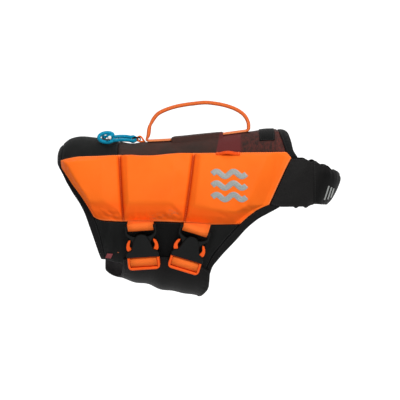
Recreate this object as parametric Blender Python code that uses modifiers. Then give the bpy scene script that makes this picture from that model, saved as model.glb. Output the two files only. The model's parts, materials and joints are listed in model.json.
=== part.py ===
"""Dog life jacket, filled out as it is worn, for a medium dog.

The frame is +Z up and +X towards the dog's head, and the origin lies under the back
panel, where the dog's back carries the jacket. Sizes are in millimetres until an
object is made. The near side, with the buckles, faces -Y.
"""

import math

import bmesh
import bpy
import numpy as np
from mathutils import Matrix, Vector

MM = 0.001

# Driving dimensions, in millimetres.
SEAM_GAP = 0.4  # between two panels along a seam
LAYER_GAP = 0.35  # between two layers that lie on each other
CLOTH = 2.0  # two-ply shell cloth of the back and the flaps
NEOPRENE = 2.4  # collar and belly panel
TAPE = 2.8  # folded edge tape
FOAM = 17.0  # a foam slab in its cover
FOAM_SEAM = 3.6  # the cover where it is sewn down
FOAM_GROOVE = 4.8  # the cover at the stitch line between two slabs
WEBBING_WIDTH = 38.0  # buckle webbing
WEBBING = 1.6
HANDLE_WIDTH = 25.0
HANDLE_THICK = 3.0
HANDLE_STITCHED = 0.5  # of its width at the grip, where it is folded
HANDLE_GRIP_THICK = 5.6
CORD = 5.0
RING_WIRE = 1.9
ROUNDNESS = 2.2  # exponent of the body's sections, 2 for an ellipse
AXIS_LEVEL = -90.0  # a level well inside the body, from which its panels face outwards

# How far the cloth stands off the figure. A fold is a soft ridge, or a trough where its
# height is negative, across the flanks; a sag is a row of waves along the belly.
FOLD_COLUMNS = ("x", "half_length", "height")
FLANK_FOLDS = ((-84.0, 11.0, 2.2), (66.0, 10.0, 1.5), (-56.0, 12.0, -1.2))
FLANK_ANGLE, FLANK_SPREAD = 122.0, 26.0
SAG_COLUMNS = ("start", "length", "turn", "height")  # turn slants the wave round the body
BELLY_SAGS = ((-20.0, 9.5, 0.0, 1.2), (8.0, 5.3, 31.0, 0.9))
BELLY_FROM, BELLY_FADE = 128.0, 30.0

# The general figure inside the jacket: a column of sections along the back.
SECTION_COLUMNS = ("x", "crown", "keel", "half_width")
BACK_ROWS = 6  # rows of points on half the back
FLAP_ROWS = 5
SECTIONS = (
    (-160.0, -30.0, -150.0, 44.0),
    (-154.0, -11.2, -153.0, 51.0),
    (-147.0, -2.4, -156.0, 57.0),
    (-138.0, 3.4, -160.0, 62.0),
    (-124.0, 6.0, -166.0, 67.0),
    (-100.0, 3.6, -175.8, 71.0),
    (-72.0, -1.5, -185.0, 73.5),
    (-54.0, -4.4, -191.6, 74.8),
    (-40.0, -2.9, -195.8, 75.4),
    (-20.0, -1.9, -200.4, 76.0),
    (10.0, -0.2, -207.2, 76.5),
    (42.0, 3.6, -213.4, 76.5),
    (80.0, 8.2, -209.0, 75.0),
    (112.0, 12.4, -200.0, 73.5),
    (140.0, 15.8, -190.0, 71.5),
    (152.0, 15.6, -184.0, 70.5),
    (160.0, 14.0, -180.0, 69.5),
    (168.0, 9.0, -176.0, 69.0),
    (180.0, -4.0, -170.0, 68.0),
)

# Seams and edges as seen from the side: x and z. None stands for the spine line.
REAR_EDGE = (
    (-158.0, None),
    (-156.8, -31.0),
    (-154.0, -37.0),
    (-149.8, -43.5),
    (-143.0, -57.4),
    (-134.6, -71.4),
    (-125.2, -85.4),
    (-118.2, -99.4),
    (-113.2, -113.4),
    (-108.4, -127.4),
    (-103.8, -141.4),
    (-99.8, -155.4),
    (-97.0, -164.0),
)
REAR_SEAM = (
    (-150.0, None),
    (-151.2, -26.6),
    (-150.0, -36.0),
    (-145.4, -43.4),
    (-136.0, -57.4),
    (-125.4, -71.4),
    (-116.0, -85.4),
    (-107.6, -99.4),
    (-105.9, -103.2),
    (-99.4, -120.4),
    (-94.0, -142.0),
    (-90.0, -165.0),
)
FLOAT_TOP = (
    (-151.2, -26.6),
    (-141.4, -23.8),
    (-124.6, -21.2),
    (-99.4, -20.6),
    (-74.2, -19.8),
    (-32.2, -20.4),
    (18.2, -17.0),
    (51.8, -16.6),
    (110.6, -15.4),
    (161.8, -14.6),
)
FLOAT_BOTTOM = (
    (-105.9, -103.2),
    (-98.5, -107.2),
    (-90.0, -108.8),
    (-63.0, -110.0),
    (-21.0, -109.8),
    (20.0, -111.4),
    (56.0, -114.2),
    (97.3, -113.6),
)
FLOAT_FRONT = (
    (161.8, -14.6),
    (169.1, -23.1),
    (138.2, -86.4),
    (130.0, -89.6),
    (121.5, -93.6),
    (109.5, -102.4),
    (97.3, -113.6),
)
# Where the rows of the float lie, as shares of its height, and its columns in a cell.
FLOAT_ROWS = (0.0, 0.05, 0.13, 0.24, 0.38, 0.52, 0.66, 0.76, 0.82, 0.91, 1.0)
CELL_COLUMNS = (0.0, 0.06, 0.14, 0.28, 0.46, 0.64, 0.8, 0.92, 1.0)
COLLAR_TOP_ROW, COLLAR_BOTTOM_ROW = 1, 6  # the float's rows at the collar's corners
# How far in from each side a slab's rounded edge runs, in each cell.
CELL_SIDES = ("rear", "front", "top", "bottom")
CELL_EDGES = ((13.0, 14.0, 22.0, 19.0), (11.0, 17.0, 22.0, 19.0), (13.0, 24.0, 22.0, 20.0))
FLAT_FRONT = (0.0, 0.0, 6.0)  # the cover alone, ahead of the last slab
FLAP_FRONT = (
    (97.3, -113.6),
    (77.4, -134.8),
    (61.0, -154.8),
    (52.0, -172.9),
    (48.0, -184.0),
)
FLAP_BOTTOM = (
    (-90.0, -165.0),
    (-63.0, -168.0),
    (0.0, -170.5),
    (30.0, -177.0),
    (48.0, -184.0),
)
LEG_EDGE = (
    (152.6, -90.1),
    (136.6, -98.8),
    (123.8, -105.8),
    (106.8, -119.6),
    (94.2, -133.6),
    (80.2, -148.6),
    (67.6, -162.2),
    (59.2, -173.4),
    (55.0, -185.4),
)
NECK_SEAM = (
    (151.0, None),
    (154.0, 10.0),
    (158.1, -2.5),
    (161.9, -13.0),
    (169.2, -22.4),
)
NECK_EDGE = (
    (165.0, None),
    (167.8, 5.4),
    (170.0, -2.0),
    (172.4, -12.7),
    (177.8, -21.4),
)
BACK_JOIN = -72.8  # where the plain rear cloth meets the printed front cloth
GROOVE_TOPS = (-71.4, 34.3)
GROOVE_BOTTOMS = (-63.7, 20.3)

# The collar: its seam on the body, then its front, from the top edge to the bottom one.
COLLAR_SEAM = ((169.4, -23.6), (138.5, -86.1))
COLLAR_FRONT_COLUMNS = ("share", "x", "z")
COLLAR_FRONT = (
    (0.0, 232.4, -46.6),
    (0.15, 235.8, -52.0),
    (0.4, 232.6, -62.6),
    (0.7, 226.6, -74.6),
    (0.9, 220.6, -82.4),
    (1.0, 214.6, -85.2),
)
COLLAR_JOIN = 199.0  # where the front strap laps over the wing
COLLAR_LAP = 13.0
COLLAR_DROPS = ((138.5, 0.0), (147.0, 3.2), (158.0, 3.6), (188.0, 3.6), (201.0, 0.0))  # x, down
COLLAR_WAVE = (202.5, 28.8, 0.6)  # the top edge's slow wave: a crest's x, its length and height
# Rows of points by the collar's height: the wing has them all, the strap the inner ones.
COLLAR_ROWS = (0.0, 0.035, 0.15, 0.28, 0.42, 0.56, 0.7, 0.83, 0.955, 1.0)

# The belly panel: where its ends lie, by the angle round the body from the spine.
BELLY_LIFT = TAPE + LAYER_GAP
BELLY_COLUMNS = ("angle", "rear", "front")
BELLY_ENDS = (
    (120.0, -63.6, 56.5),
    (150.0, -65.0, 54.0),
    (166.0, -69.0, 47.0),
    (178.0, -83.0, 42.4),
    (190.0, -91.6, 43.5),
    (215.0, -92.6, 45.0),
    (240.0, -91.0, 47.0),
)
BELLY_NEAR = ((-66.0, -160.0), (-10.0, -158.0), (14.0, -160.5), (36.0, -168.0), (60.0, -180.0))
BELLY_FAR = ((-92.0, -158.0), (-10.0, -158.0), (30.0, -166.0), (60.0, -178.0))

# The handle's line from the side, foot to foot.
HANDLE_LINE = (
    (-35.0, 3.6),
    (-33.6, 10.0),
    (-33.0, 16.4),
    (-31.8, 21.4),
    (-29.9, 25.4),
    (-26.6, 32.6),
    (-19.0, 41.6),
    (-5.0, 48.6),
    (11.0, 53.2),
    (30.0, 56.2),
    (50.0, 58.0),
    (68.0, 56.0),
    (84.4, 52.0),
    (97.2, 46.4),
    (106.8, 38.8),
    (111.6, 30.6),
    (113.2, 24.0),
    (113.2, 18.6),
)
HANDLE_REAR_FOOT = (38.0, -32.6)
HANDLE_FRONT_FOOT = (110.6, 42.0)
SLEEVE = (2.0, 75.0)  # the cover over the middle of the handle's webbing
SLEEVE_HALF = 21.0
SLEEVE_THICK = 1.4
LABEL = (125.5, 146.5, 41.0)  # from, to, and half its width across the spine
LABEL_THICK = 0.8
TAB_X, TAB_Z, TAB_THICK = (-88.6, -80.6), (-154.0, -161.0), 1.0  # the small side tab

# The ring and its webbing loop, whose inner face is seen from the side from foot to end.
RING_LOOP_WIDTH, RING_LOOP_THICK = 3.6, 1.9
RING_LOOP_LINE = (
    (-39.9, 1.3),
    (-41.6, 1.3),
    (-43.4, 1.6),
    (-44.6, 2.8),
    (-44.9, 4.2),
    (-44.5, 5.6),
    (-43.3, 6.3),
    (-42.0, 5.7),
    (-40.4, 3.4),
    (-39.0, 1.4),
    (-38.4, 0.4),
)
RING_REAR, RING_FRONT, RING_HALF, RING_LEVEL = -53.2, -42.6, 4.8, 3.6
RING_TILT = 32.0  # degrees, its near side up
RING_SQUARENESS = 0.62  # 1 for an ellipse, less for a squarer oval

# The pull cord, from the ring to its knot.
KNOT_PLACE, KNOT_LEAN = (-90.2, -31.6, 6.2), 30.0  # it leans back from upright
KNOT_HALF = (12.3, 8.7, 6.0)
KNOT_CORD = 5.2
KNOT_TURN = 90.0  # brings one lobe of the knot round to the rear
KNOT_REACH = (3.0, 2.8, 1.0)  # of the bare knot's line along its three axes
BIGHT_TURNS = (9.0, 18.0, 36.0, 62.0, 88.0)  # degrees round the ring's wire
STRANDS = {  # each strand's points from the ring on: the upper one, then the lower
    True: (
        (-55.5, 2.2, 6.2), (-62.0, -0.6, 7.3), (-69.5, -6.0, 7.5), (-75.0, -13.0, 7.2),
        (-78.0, -19.5, 7.0),
    ),
    False: (
        (-55.5, -4.0, 1.5), (-62.0, -7.2, 2.4), (-69.5, -12.4, 2.6), (-76.0, -20.0, 2.1),
        (-80.0, -26.4, 1.9),
    ),
}

# A light webbing loop on the seam over the front cell.
LASH = (64.5, 98.3)
LASH_SHARES = (0.008, 0.098)  # its two edges, by the float's height
LASH_RISE, LASH_THICK = 3.4, 1.3

# Side-release buckles: where each lies flat on the side, and its lean from upright.
BUCKLE_COLUMNS = ("x", "z", "lean_degrees")
BUCKLES = ((-38.0, -134.6, -4.0), (29.8, -138.7, 17.3))
BUCKLE_LIFT = 9.6  # from the body to the middle of the buckle
BUCKLE_REST = 12.0  # how far above its middle it lies flat on the body
WEB_HALF = WEBBING_WIDTH / 2

COLOURS = {
    "float_orange": ((0.95, 0.165, 0.018), 0.55, 0.0),
    "webbing_orange": ((0.93, 0.2, 0.04), 0.7, 0.0),
    "plastic_orange": ((0.85, 0.115, 0.022), 0.35, 0.0),
    "shell_black": ((0.018, 0.019, 0.02), 0.7, 0.0),
    "neoprene_black": ((0.02, 0.019, 0.018), 0.8, 0.0),
    "tape_black": ((0.014, 0.014, 0.015), 0.75, 0.0),
    "back_print": ((0.085, 0.028, 0.02), 0.65, 0.0),
    "plastic_black": ((0.012, 0.013, 0.012), 0.4, 0.0),
    "cord_blue": ((0.02, 0.3, 0.44), 0.6, 0.0),
    "tab_red": ((0.24, 0.06, 0.07), 0.7, 0.0),
}


# ---------------------------------------------------------------- numbers


def smooth(at, xs, ys):
    """A cubic through the rows of a table that never overshoots them."""
    xs, ys = np.asarray(xs, float), np.asarray(ys, float)
    at = np.clip(np.asarray(at, float), xs[0], xs[-1])
    gaps = np.diff(xs)
    slopes = np.diff(ys) / gaps
    before, after = slopes[:-1], slopes[1:]
    same = before * after > 0
    total = np.where(same, before + after, 1.0)
    middle = np.where(same, 2 * before * after / total, 0.0)
    tangents = np.concatenate([slopes[:1], middle, slopes[-1:]])
    i = np.clip(np.searchsorted(xs, at, side="right") - 1, 0, len(gaps) - 1)
    t = (at - xs[i]) / gaps[i]
    rise = t * t * (3 - 2 * t)
    lead = t * (1 - t) ** 2 * gaps[i] * tangents[i]
    tail = t * t * (t - 1) * gaps[i] * tangents[i + 1]
    return ys[i] * (1 - rise) + ys[i + 1] * rise + lead + tail


def column(table, names, name):
    return [row[names.index(name)] for row in table]


def lengths(points):
    """Length along a row of points, from 0."""
    steps = np.linalg.norm(np.diff(points, axis=0), axis=1)
    return np.concatenate([[0.0], np.cumsum(steps)])


def bump(at, middle, half):
    """1 at the middle and 0 from half away, smooth between."""
    t = np.clip(np.abs(np.asarray(at, float) - middle) / half, 0, 1)
    return (1 - t * t) ** 2


def ramp(distance, width):
    """0 at a seam, rising to 1 at width from it: a straight bevel with a rounded top."""
    t = np.clip(distance / width, 0, 1)
    return t * (1.25 - 0.25 * t**4)


# ---------------------------------------------------------------- the body's surface


def section(x):
    xs = column(SECTIONS, SECTION_COLUMNS, "x")
    crown, keel, half = (
        smooth(x, xs, column(SECTIONS, SECTION_COLUMNS, name))
        for name in SECTION_COLUMNS[1:]
    )
    return (crown + keel) / 2, (crown - keel) / 2, half


def bare_body(x, angle):
    """Points of the figure: angle 0 on the spine, 90 on the near side, 180 below."""
    x, angle = np.broadcast_arrays(np.asarray(x, float), np.asarray(angle, float))
    middle, tall, half = section(x)
    side, up = np.sin(np.radians(angle)), np.cos(np.radians(angle))
    reach = (np.abs(side / half) ** ROUNDNESS + np.abs(up / tall) ** ROUNDNESS) ** (-1 / ROUNDNESS)
    return np.stack([x, -reach * side, middle + reach * up], axis=-1)


def outward(x, angle):
    along = bare_body(x + 0.6, angle) - bare_body(x - 0.6, angle)
    around = bare_body(x, angle + 0.6) - bare_body(x, angle - 0.6)
    normal = np.cross(around, along)
    return normal / np.linalg.norm(normal, axis=-1, keepdims=True)


def drape(x, angle):
    """How far the cloth stands off the figure: sags of the belly, folds of the flaps."""
    turn = np.abs((np.asarray(angle, float) + 180) % 360 - 180)
    low = np.clip((turn - BELLY_FROM) / BELLY_FADE, 0, 1)
    sag = sum(
        height * np.sin((x - start) / length + (turn / slant if slant else 0.0))
        for start, length, slant, height in BELLY_SAGS
    )
    fold = sum(height * bump(x, place, half) for place, half, height in FLANK_FOLDS)
    return low * sag + fold * bump(turn, FLANK_ANGLE, FLANK_SPREAD)


def body(x, angle, off=0.0):
    x, angle = np.broadcast_arrays(np.asarray(x, float), np.asarray(angle, float))
    lift = np.asarray(off, float) + drape(x, angle)
    return bare_body(x, angle) + outward(x, angle) * lift[..., None]


def angle_at(x, z):
    """The angle of the near side's point that is seen at x and z from the side."""
    middle, tall, half = section(np.asarray(x, float))
    level = np.clip((np.asarray(z, float) - middle) / tall, -1, 1)
    across = half * (1 - np.abs(level) ** ROUNDNESS) ** (1 / ROUNDNESS)
    return np.degrees(np.arctan2(across, level * tall))


def edge(rows, shares=None):
    """A seam as a function of its share of length, giving x and the angle."""
    x = np.array([row[0] for row in rows])
    angle = np.array([0.0 if z is None else float(angle_at(a, z)) for a, z in rows])
    if shares is None:
        along = lengths(bare_body(x, angle))
        shares, read = along / along[-1], smooth
    else:
        read = np.interp
    return lambda t: np.stack([read(t, shares, x), read(t, shares, angle)], axis=-1)


def line_at(rows):
    """A seam as a function of x, giving x and the angle."""
    xs, zs = zip(*rows)
    return lambda x: np.stack([np.asarray(x, float), angle_at(x, smooth(x, xs, zs))], axis=-1)


def between(first, second, shares):
    """Rows from one line to another."""
    return first[:, None] + (second - first)[:, None] * np.asarray(shares)[None, :, None]


def coons(rear, front, top, bottom):
    """A patch of (x, angle) inside four edges, each an array of points."""
    u = np.linspace(0, 1, len(top))[:, None, None]
    v = np.linspace(0, 1, len(rear))[None, :, None]
    across = rear[None] * (1 - u) + front[None] * u
    down = top[:, None] * (1 - v) + bottom[:, None] * v
    corners = (
        top[0] * (1 - u) * (1 - v)
        + top[-1] * u * (1 - v)
        + bottom[0] * (1 - u) * v
        + bottom[-1] * u * v
    )
    return across + down - corners


def on_body(patch, off=0.0):
    return body(patch[..., 0], patch[..., 1], off)


def drawn_in(grid, sides="lrtb", by=SEAM_GAP / 2):
    """The grid with its named sides moved in, which leaves the gap of a seam."""
    grid = grid.copy()
    pairs = {
        "l": (np.s_[0], np.s_[1]),
        "r": (np.s_[-1], np.s_[-2]),
        "t": (np.s_[:, 0], np.s_[:, 1]),
        "b": (np.s_[:, -1], np.s_[:, -2]),
    }
    for side in sides:
        rim, inner = pairs[side]
        way = grid[inner] - grid[rim]
        grid[rim] += by * way / np.linalg.norm(way, axis=-1, keepdims=True)
    return grid


# ---------------------------------------------------------------- objects


def material(name):
    found = bpy.data.materials.get(name)
    if found:
        return found
    colour, roughness, metallic = COLOURS[name]
    made = bpy.data.materials.new(name)
    made.use_nodes = True
    shader = made.node_tree.nodes["Principled BSDF"]
    shader.inputs["Base Color"].default_value = (*colour, 1.0)
    shader.inputs["Roughness"].default_value = roughness
    shader.inputs["Metallic"].default_value = metallic
    made.diffuse_color = (*colour, 1.0)
    return made


def add(name, data, finish):
    obj = bpy.data.objects.new(name, data)
    data.materials.append(material(finish))
    JACKET.objects.link(obj)
    return obj


def sheet(name, grid, thick, finish, far=False, weights=None):
    """A cloth panel: a grid laid on its points, given its wall by Solidify.

    far mirrors it to the far side. weights, from 0 to 1, scale the wall point by point.
    """
    count, rows = grid.shape[:2]
    mesh = bpy.data.meshes.new(name)
    bm = bmesh.new()
    bmesh.ops.create_grid(bm, x_segments=count - 1, y_segments=rows - 1, size=0.5)
    places = {}
    for vertex in bm.verts:
        i = round((vertex.co.x + 0.5) * (count - 1))
        j = round((vertex.co.y + 0.5) * (rows - 1))
        places[vertex.index] = (i, j)
        point = grid[i, j] * MM
        vertex.co = (point[0], -point[1] if far else point[1], point[2])
    middle = grid[count // 2, rows // 2] * MM
    bm.normal_update()
    centre = Vector((middle[0], 0.0, AXIS_LEVEL * MM))
    turned = sum(
        face.normal.dot(face.calc_center_median() - centre) * face.calc_area()
        for face in bm.faces
    )
    if turned < 0:
        bmesh.ops.reverse_faces(bm, faces=bm.faces)
    bm.to_mesh(mesh)
    bm.free()
    obj = add(name, mesh, finish)
    wall = obj.modifiers.new("wall", "SOLIDIFY")
    wall.thickness = thick * MM
    wall.offset = 1.0
    if weights is not None:
        group = obj.vertex_groups.new(name="wall")
        for index, (i, j) in places.items():
            group.add([index], float(weights[i, j]), "REPLACE")
        wall.vertex_group = group.name
    mesh.shade_smooth()
    return obj


def pair(name, grid, thick, finish, weights=None):
    """The same panel on the near side, right, and on the far side, left."""
    sheet(name + "_right", grid, thick, finish, weights=weights)
    sheet(name + "_left", grid, thick, finish, far=True, weights=weights)


def plate(name, outlines, half_depth, rounding, steps=1):
    """A flat piece in its own plane, with rounded edges, from closed outlines."""
    curve = bpy.data.curves.new(name, "CURVE")
    curve.dimensions = "2D"
    curve.fill_mode = "BOTH"
    curve.extrude = (half_depth - rounding) * MM
    curve.bevel_depth = rounding * MM
    curve.bevel_resolution = steps
    curve.offset = -rounding * MM
    for outline in outlines:
        spline = curve.splines.new("POLY")
        spline.points.add(len(outline) - 1)
        for point, (u, v) in zip(spline.points, outline):
            point.co = (u * MM, v * MM, 0.0, 1.0)
        spline.use_cyclic_u = True
    guide = bpy.data.objects.new(name, curve)
    JACKET.objects.link(guide)
    bpy.context.view_layer.update()
    graph = bpy.context.evaluated_depsgraph_get()
    mesh = bpy.data.meshes.new_from_object(guide.evaluated_get(graph))
    bpy.data.objects.remove(guide)
    bpy.data.curves.remove(curve)
    bm = bmesh.new()
    bm.from_mesh(mesh)
    bmesh.ops.remove_doubles(bm, verts=bm.verts, dist=0.002 * MM)
    bmesh.ops.recalc_face_normals(bm, faces=bm.faces)
    bm.to_mesh(mesh)
    bm.free()
    mesh.materials.clear()
    return mesh


def helper(name, mesh):
    """A cutter, or a shape that is joined to another: never a part of its own."""
    obj = bpy.data.objects.new(name, mesh)
    obj.hide_render = True
    obj.display_type = "WIRE"
    HELPERS.objects.link(obj)
    return obj


def combine(obj, other, operation):
    step = obj.modifiers.new(other.name, "BOOLEAN")
    step.operation = operation
    step.solver = "EXACT"
    step.object = other


def tube(name, line, width, finish, sides=2, closed=False):
    """A round tube along smooth points, closed on itself or with closed ends."""
    curve = bpy.data.curves.new(name, "CURVE")
    curve.dimensions = "3D"
    curve.bevel_depth = width / 2 * MM
    curve.bevel_resolution = sides
    curve.use_fill_caps = not closed
    spline = curve.splines.new("POLY")
    spline.points.add(len(line) - 1)
    spline.use_cyclic_u = closed
    for point, place in zip(spline.points, line):
        point.co = (*(place * MM), 1.0)
    return add(name, curve, finish)


# ---------------------------------------------------------------- cloth panels


def back_panel(name, rear, front, shares, finish):
    """A panel over the spine, between two rows of x from the far seam to the near one."""
    t = np.linspace(-1, 1, 2 * BACK_ROWS - 1)
    seam = line_at(FLOAT_TOP)
    first, last = rear(np.abs(t)), front(np.abs(t))
    x = first[None, :] + (last - first)[None, :] * np.array(shares)[:, None]
    patch = np.stack([x, seam(x)[..., 1] * t[None, :]], axis=-1)
    sheet(name, drawn_in(on_body(patch)), CLOTH, finish)


def seam_x(rows):
    """Where a seam over the back lies, by the share of the way down to the float."""
    upper = [row for row in rows if row[1] is None or row[1] > -27.5]
    xs = np.array([row[0] for row in upper])
    angles = np.array([0.0 if z is None else float(angle_at(x, z)) for x, z in upper])
    shares = angles / line_at(FLOAT_TOP)(xs)[:, 1]
    shares[-1] = max(shares[-1], 1.0)
    return lambda t: smooth(t, shares, xs)


def make_back():
    join = lambda t: np.full_like(t, BACK_JOIN)
    back_panel("back_rear", seam_x(REAR_SEAM[:2]), join, np.linspace(0, 1, 8), "shell_black")
    back_panel("back_front", join, seam_x(NECK_SEAM[:4]), np.linspace(0, 1, 16), "back_print")


def float_patch():
    """The three cells of the float as one patch, and the wall's thickness on it."""
    top, bottom = line_at(FLOAT_TOP), line_at(FLOAT_BOTTOM)
    rows, columns = np.array(FLOAT_ROWS), np.array(CELL_COLUMNS)
    tops = (FLOAT_TOP[0][0], *GROOVE_TOPS, FLOAT_TOP[-1][0])
    bottoms = (FLOAT_BOTTOM[0][0], *GROOVE_BOTTOMS, FLOAT_BOTTOM[-1][0])
    corners = (rows[0], rows[COLLAR_TOP_ROW], *rows[COLLAR_BOTTOM_ROW:])
    sides = [edge(REAR_SEAM[1:9])(rows)]
    for a, b in zip(GROOVE_TOPS, GROOVE_BOTTOMS):
        sides.append(between(top(a)[None], bottom(b)[None], rows)[0])
    sides.append(edge(FLOAT_FRONT, corners)(rows))
    patches, walls = [], []
    for cell in range(3):
        above = top(tops[cell] + (tops[cell + 1] - tops[cell]) * columns)
        below = bottom(bottoms[cell] + (bottoms[cell + 1] - bottoms[cell]) * columns)
        patch = coons(sides[cell], sides[cell + 1], above, below)
        keep = slice(0, -1) if cell < 2 else slice(None)
        patches.append(patch[keep])
        walls.append(cell_wall(on_body(patch), cell)[keep])
    return np.concatenate(patches), np.concatenate(walls)


def cell_wall(grid, cell):
    """The wall of one cell, from the seams and stitch lines round its foam slab."""
    across = np.stack([lengths(grid[:, j]) for j in range(grid.shape[1])], axis=1)
    down = np.stack([lengths(grid[i]) for i in range(grid.shape[0])], axis=0)
    rear, front, top, bottom = CELL_EDGES[cell]
    low = (FOAM_GROOVE - FOAM_SEAM) / (FOAM - FOAM_SEAM)
    behind = ramp(across, rear)
    ahead = ramp(np.maximum(across[-1] - across - FLAT_FRONT[cell], 0), front)
    if cell > 0:
        behind = low + (1 - low) * behind
    if cell < 2:
        ahead = low + (1 - low) * ahead
    slab = behind * ahead * ramp(down, top) * ramp(down[:, -1:] - down, bottom)
    return FOAM_SEAM + (FOAM - FOAM_SEAM) * slab


def make_floats():
    patch, wall = float_patch()
    grid = drawn_in(on_body(patch))
    pair("float", grid, FOAM, "float_orange", weights=wall / FOAM)


def flap_patch():
    below, above = line_at(FLAP_BOTTOM), float_patch()[0][:, -1]
    first, last = above[0, 0], above[-1, 0]
    foot, toe = FLAP_BOTTOM[0][0], FLAP_BOTTOM[-1][0]
    rows = np.linspace(0, 1, FLAP_ROWS)
    return coons(
        edge(REAR_SEAM[8:])(rows),
        edge(FLAP_FRONT)(rows),
        above,
        below(foot + (toe - foot) * (above[:, 0] - first) / (last - first)),
    )


def make_flaps():
    pair("flap", drawn_in(on_body(flap_patch()), "lrt"), CLOTH, "shell_black")


def tape(name, inner, outer, mirrored=True):
    """An edge tape between its seam's rows and the garment's open edge."""
    along = lengths(bare_body(inner[:, 0], inner[:, 1]))
    grid = on_body(between(inner, outer(along / along[-1]), (0.0, 0.5, 1.0)))
    grid = drawn_in(grid, "t")
    if mirrored:
        pair(name, grid, TAPE, "tape_black")
    else:
        sheet(name, grid, TAPE, "tape_black")


def over_spine(rows):
    """The near side's rows of (x, angle), from the spine down, with the far side's."""
    far = rows[:0:-1] * np.array([1.0, -1.0])
    return np.concatenate([far, rows])


def make_tapes():
    patch, flap = float_patch()[0], flap_patch()
    share = np.linspace(0, 1, BACK_ROWS)
    seam = patch[0, 0, 1]
    upper = np.stack([seam_x(REAR_SEAM[:2])(share), seam * share], axis=-1)
    rear = np.concatenate([upper, patch[0, 1:], flap[0, 1:]])
    edge_of = lambda rows: lambda t: over_spine_at(edge(rows), t)
    tape("rear_tape", over_spine(rear), edge_of(REAR_EDGE), mirrored=False)
    neck = edge(NECK_SEAM)(np.linspace(0, 1, 10))
    tape("neck_tape", over_spine(neck), edge_of(NECK_EDGE), mirrored=False)
    leg = np.concatenate([patch[-1, COLLAR_BOTTOM_ROW:], flap[-1, 1:]])
    tape("leg_tape", leg, edge(LEG_EDGE))


def over_spine_at(half, share):
    """Points of an edge over the spine, at shares of its whole length."""
    t = 2 * share - 1
    return half(np.abs(t)) * np.stack([np.ones_like(t), np.sign(t)], axis=-1)


def collar_seam(share):
    (x0, z0), (x1, z1) = COLLAR_SEAM
    x, z = x0 + (x1 - x0) * share, z0 + (z1 - z0) * share
    return body(x, angle_at(x, z))


def collar_point(turn, share, off=0.0):
    """A point of the collar: turn 0 on the near seam, 90 in front, 180 on the far one."""
    turn, share = np.broadcast_arrays(np.asarray(turn, float), np.asarray(share, float))
    seam = collar_seam(share)
    front_x, front_z = (
        smooth(share, column(COLLAR_FRONT, COLLAR_FRONT_COLUMNS, "share"),
               column(COLLAR_FRONT, COLLAR_FRONT_COLUMNS, name))
        for name in ("x", "z")
    )
    sine, cosine = np.sin(np.radians(turn)), np.cos(np.radians(turn))
    x = seam[..., 0] + (front_x - seam[..., 0]) * np.abs(sine) ** 0.96
    y = seam[..., 1] * np.sign(cosine) * np.abs(cosine) ** 0.96
    z = seam[..., 2] + (front_z - seam[..., 2]) * np.abs(sine) ** 2.3
    crest, long, high = COLLAR_WAVE
    wave = bump(share, 0, 0.3) * np.cos((x - crest) * 2 * math.pi / long)
    z = z + high * wave * np.clip((x - 183.0) / 14.0, 0, 1)
    z = z - smooth(x, *zip(*COLLAR_DROPS)) * share**4
    point = np.stack([x, y, z], axis=-1)
    if not np.any(off):
        return point
    ahead = collar_point(turn + 0.5, share) - collar_point(turn - 0.5, share)
    down = collar_point(turn, share + 0.01) - collar_point(turn, share - 0.01)
    normal = np.cross(ahead, down)
    normal /= np.linalg.norm(normal, axis=-1, keepdims=True)
    normal *= np.sign((normal[..., 1] * point[..., 1] + normal[..., 0] * 60))[..., None]
    return point + normal * np.asarray(off, float)[..., None]


def collar_turn(x, share):
    """The turn at which the collar reaches x."""
    seam = collar_seam(share)[..., 0]
    front = smooth(share, column(COLLAR_FRONT, COLLAR_FRONT_COLUMNS, "share"),
                   column(COLLAR_FRONT, COLLAR_FRONT_COLUMNS, "x"))
    part = np.clip((x - seam) / (front - seam), 0, 1) ** (1 / 0.96)
    return np.degrees(np.arcsin(part))


def make_collar():
    share = np.array(COLLAR_ROWS)
    join = collar_turn(COLLAR_JOIN + COLLAR_LAP, share)
    wing = np.linspace(0, 1, 9)[:, None] * join[None, :]
    grid = collar_point(wing, share[None, :] + np.zeros_like(wing))
    pair("collar_wing", drawn_in(grid, "l"), NEOPRENE, "neoprene_black")
    share = np.array(COLLAR_ROWS[1:-1])
    start = collar_turn(COLLAR_JOIN, share)
    t = np.linspace(0, 1, 19)[:, None]
    strap = start[None, :] + (180 - 2 * start)[None, :] * t
    share = np.broadcast_to(share[None, :], strap.shape)
    lift = np.full(strap.shape, NEOPRENE + LAYER_GAP)
    sheet("collar_front", collar_point(strap, share, lift), NEOPRENE, "neoprene_black")


def make_belly():
    """One piece from the far flap, under the belly, to its lap on the near flap."""
    t = np.linspace(0, 1, 17)
    u = np.linspace(0, 1, 14)
    near, far = line_at(BELLY_NEAR), line_at(BELLY_FAR)
    angles, rears, fronts = (column(BELLY_ENDS, BELLY_COLUMNS, n) for n in BELLY_COLUMNS)
    guess = 120 + 120 * t
    for _ in range(6):
        rear, front = smooth(guess, angles, rears), smooth(guess, angles, fronts)
        x = rear[None, :] + (front - rear)[None, :] * u[:, None]
        first, last = near(x)[..., 1], 360 - far(x)[..., 1]
        angle = first + (last - first) * t[None, :]
        guess = angle.mean(axis=0)
    sheet("belly_panel", body(x, angle, BELLY_LIFT), NEOPRENE, "neoprene_black")


# ---------------------------------------------------------------- webbing and trims


def spine_point(x, across, off):
    """A point over the back, across millimetres from the spine."""
    x, across = np.broadcast_arrays(np.asarray(x, float), np.asarray(across, float))
    middle, tall, half = section(x)
    rise = tall * (1 - np.abs(across / half) ** ROUNDNESS) ** (1 / ROUNDNESS)
    return body(x, np.degrees(np.arctan2(across, rise)), off)


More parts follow.
